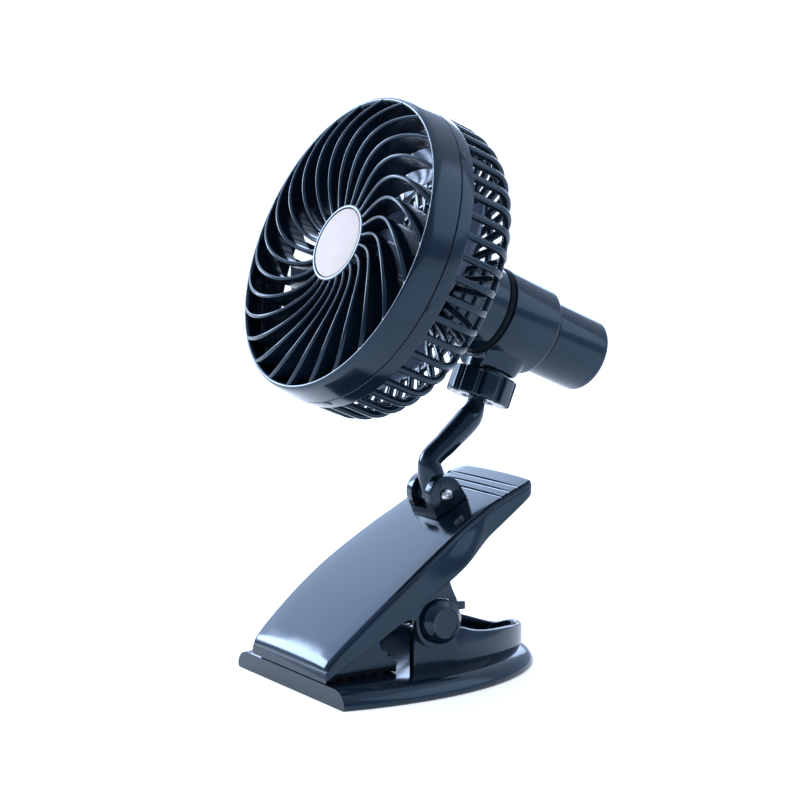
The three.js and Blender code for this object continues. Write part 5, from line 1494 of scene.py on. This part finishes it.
def studio_world():
    """Pale room: brighter overhead, dimmer where the camera stands."""
    world = bpy.data.worlds.new("studio")
    bpy.context.scene.world = world
    world.use_nodes = True
    tree = world.node_tree
    sky = tree.nodes["Background"]
    place = tree.nodes.new("ShaderNodeTexCoord")
    split = tree.nodes.new("ShaderNodeSeparateXYZ")
    tree.links.new(place.outputs["Generated"], split.inputs["Vector"])
    ramp = tree.nodes.new("ShaderNodeValToRGB")
    tree.links.new(split.outputs["Z"], ramp.inputs["Fac"])
    tree.links.new(ramp.outputs["Color"], sky.inputs["Color"])
    first, last = ramp.color_ramp.elements
    first.position, first.color = 0.0, (0.46, 0.62, 0.90, 1)
    last.position, last.color = 0.9, (0.63, 0.74, 0.92, 1)
    toward = tree.nodes.new("ShaderNodeVectorMath")
    toward.operation = "DOT_PRODUCT"
    toward.inputs[1].default_value = (0.84, -0.54, 0.0)
    tree.links.new(place.outputs["Generated"], toward.inputs[0])
    dim = tree.nodes.new("ShaderNodeMapRange")
    for name, value in (("From Min", 0.2), ("From Max", 0.95), ("To Min", 1.15),
                        ("To Max", 0.45)):
        dim.inputs[name].default_value = value
    tree.links.new(toward.outputs["Value"], dim.inputs["Value"])
    tree.links.new(dim.outputs["Result"], sky.inputs["Strength"])


class FAN_OT_stage(bpy.types.Operator):
    """Set the plain floor, the soft lights and the camera"""
    bl_idname = "fan.stage"
    bl_label = "Stage"

    def execute(self, context):
        scene = context.scene
        scene.view_settings.view_transform = "Standard"
        points = [(ROOM_RADIUS * math.cos(TURN * i / 96), ROOM_RADIUS * math.sin(TURN * i / 96), 0)
                  for i in range(96)]
        mesh = bpy.data.meshes.new("floor")
        mesh.from_pydata(points, [], [tuple(range(96))])
        floor = bpy.data.objects.new("floor", mesh)
        scene.collection.objects.link(floor)
        finish = Finish("pale_floor").values(Roughness=0.8, Specular_IOR_Level=0.1,
                                             Emission_Color=(0.98, 0.98, 0.98, 1),
                                             Emission_Strength=0.56)
        pale = tuple(scene.fan_colours.floor)
        finish.tint(finish.noise(3, 3), shade(pale, 0.99), pale)
        mesh.materials.append(finish.material)
        ball = bpy.data.meshes.new("backdrop")
        work = bmesh.new()
        bmesh.ops.create_uvsphere(work, u_segments=48, v_segments=24, radius=ROOM_RADIUS)
        work.to_mesh(ball)
        work.free()
        dome = bpy.data.objects.new("backdrop", ball)
        scene.collection.objects.link(dome)
        ball.materials.append(emitter("backdrop_white", (1, 1, 1), 1.1))
        for ray in ("diffuse", "glossy", "transmission", "volume_scatter", "shadow"):
            setattr(dome, f"visible_{ray}", False)
        studio_world()
        cool = (0.58, 0.72, 1.0)
        softbox("left_box", (-1.3, -0.1, 0.95), (0, 0, 0.1), (1.9, 1.5), 23, cool)
        softbox("front_box", (-1.21, -0.7, 0.58), (0, -0.02, 0.16), (0.6, 0.5), 14, (0.72, 0.83, 1))
        softbox("back_box", (-1.15, 0.95, 0.5), (0, 0.04, 0.14), (0.9, 0.4), 4, cool)
        softbox("right_box", (0.9, 0.9, 0.9), (0, 0, 0.12), (1.3, 1.0), 5, (0.8, 0.88, 1))
        camera = bpy.data.objects.new("camera", bpy.data.cameras.new("camera"))
        camera.location = (0.70312, -0.45342, 0.21508)
        camera.rotation_euler = (math.radians(82.81), 0, math.radians(57.22))
        camera.data.lens = 95.85
        camera.data.sensor_width = 36
        scene.collection.objects.link(camera)
        scene.camera = camera
        return {"FINISHED"}


# ------------------------------------------------------------------ add-on
OPERATORS = [FAN_OT_stage, FAN_OT_front_guard, FAN_OT_rear_guard, FAN_OT_wheel, FAN_OT_tube,
             FAN_OT_controls, FAN_OT_ball_joint, FAN_OT_arm, FAN_OT_upper_jaw, FAN_OT_bracket,
             FAN_OT_lower_jaw, FAN_OT_hinge, FAN_OT_inner]


class FAN_PT_panel(bpy.types.Panel):
    """Lists the fan's sizes and colours, and one button for each group of pieces"""
    bl_label = "Clip fan"
    bl_idname = "FAN_PT_panel"
    bl_space_type = "VIEW_3D"
    bl_region_type = "UI"
    bl_category = "Clip fan"

    def draw(self, context):
        layout = self.layout
        for operator in OPERATORS:
            layout.operator(operator.bl_idname)
        for name in GROUPS:
            group = getattr(context.scene, name)
            box = layout.box()
            for prop in group.bl_rna.properties:
                if prop.type in {"FLOAT", "INT"}:
                    box.prop(group, prop.identifier)


def register():
    for cls in (*GROUPS.values(), *OPERATORS, FAN_PT_panel):
        bpy.utils.register_class(cls)
    for name, group in GROUPS.items():
        setattr(bpy.types.Scene, name, PointerProperty(type=group))


def unregister():
    for name in GROUPS:
        delattr(bpy.types.Scene, name)
    for cls in (FAN_PT_panel, *reversed(OPERATORS), *reversed(GROUPS.values())):
        bpy.utils.unregister_class(cls)


def main():
    register()
    for operator in OPERATORS:
        group, name = operator.bl_idname.split(".")
        getattr(getattr(bpy.ops, group), name)()


if __name__ == "__main__":
    main()
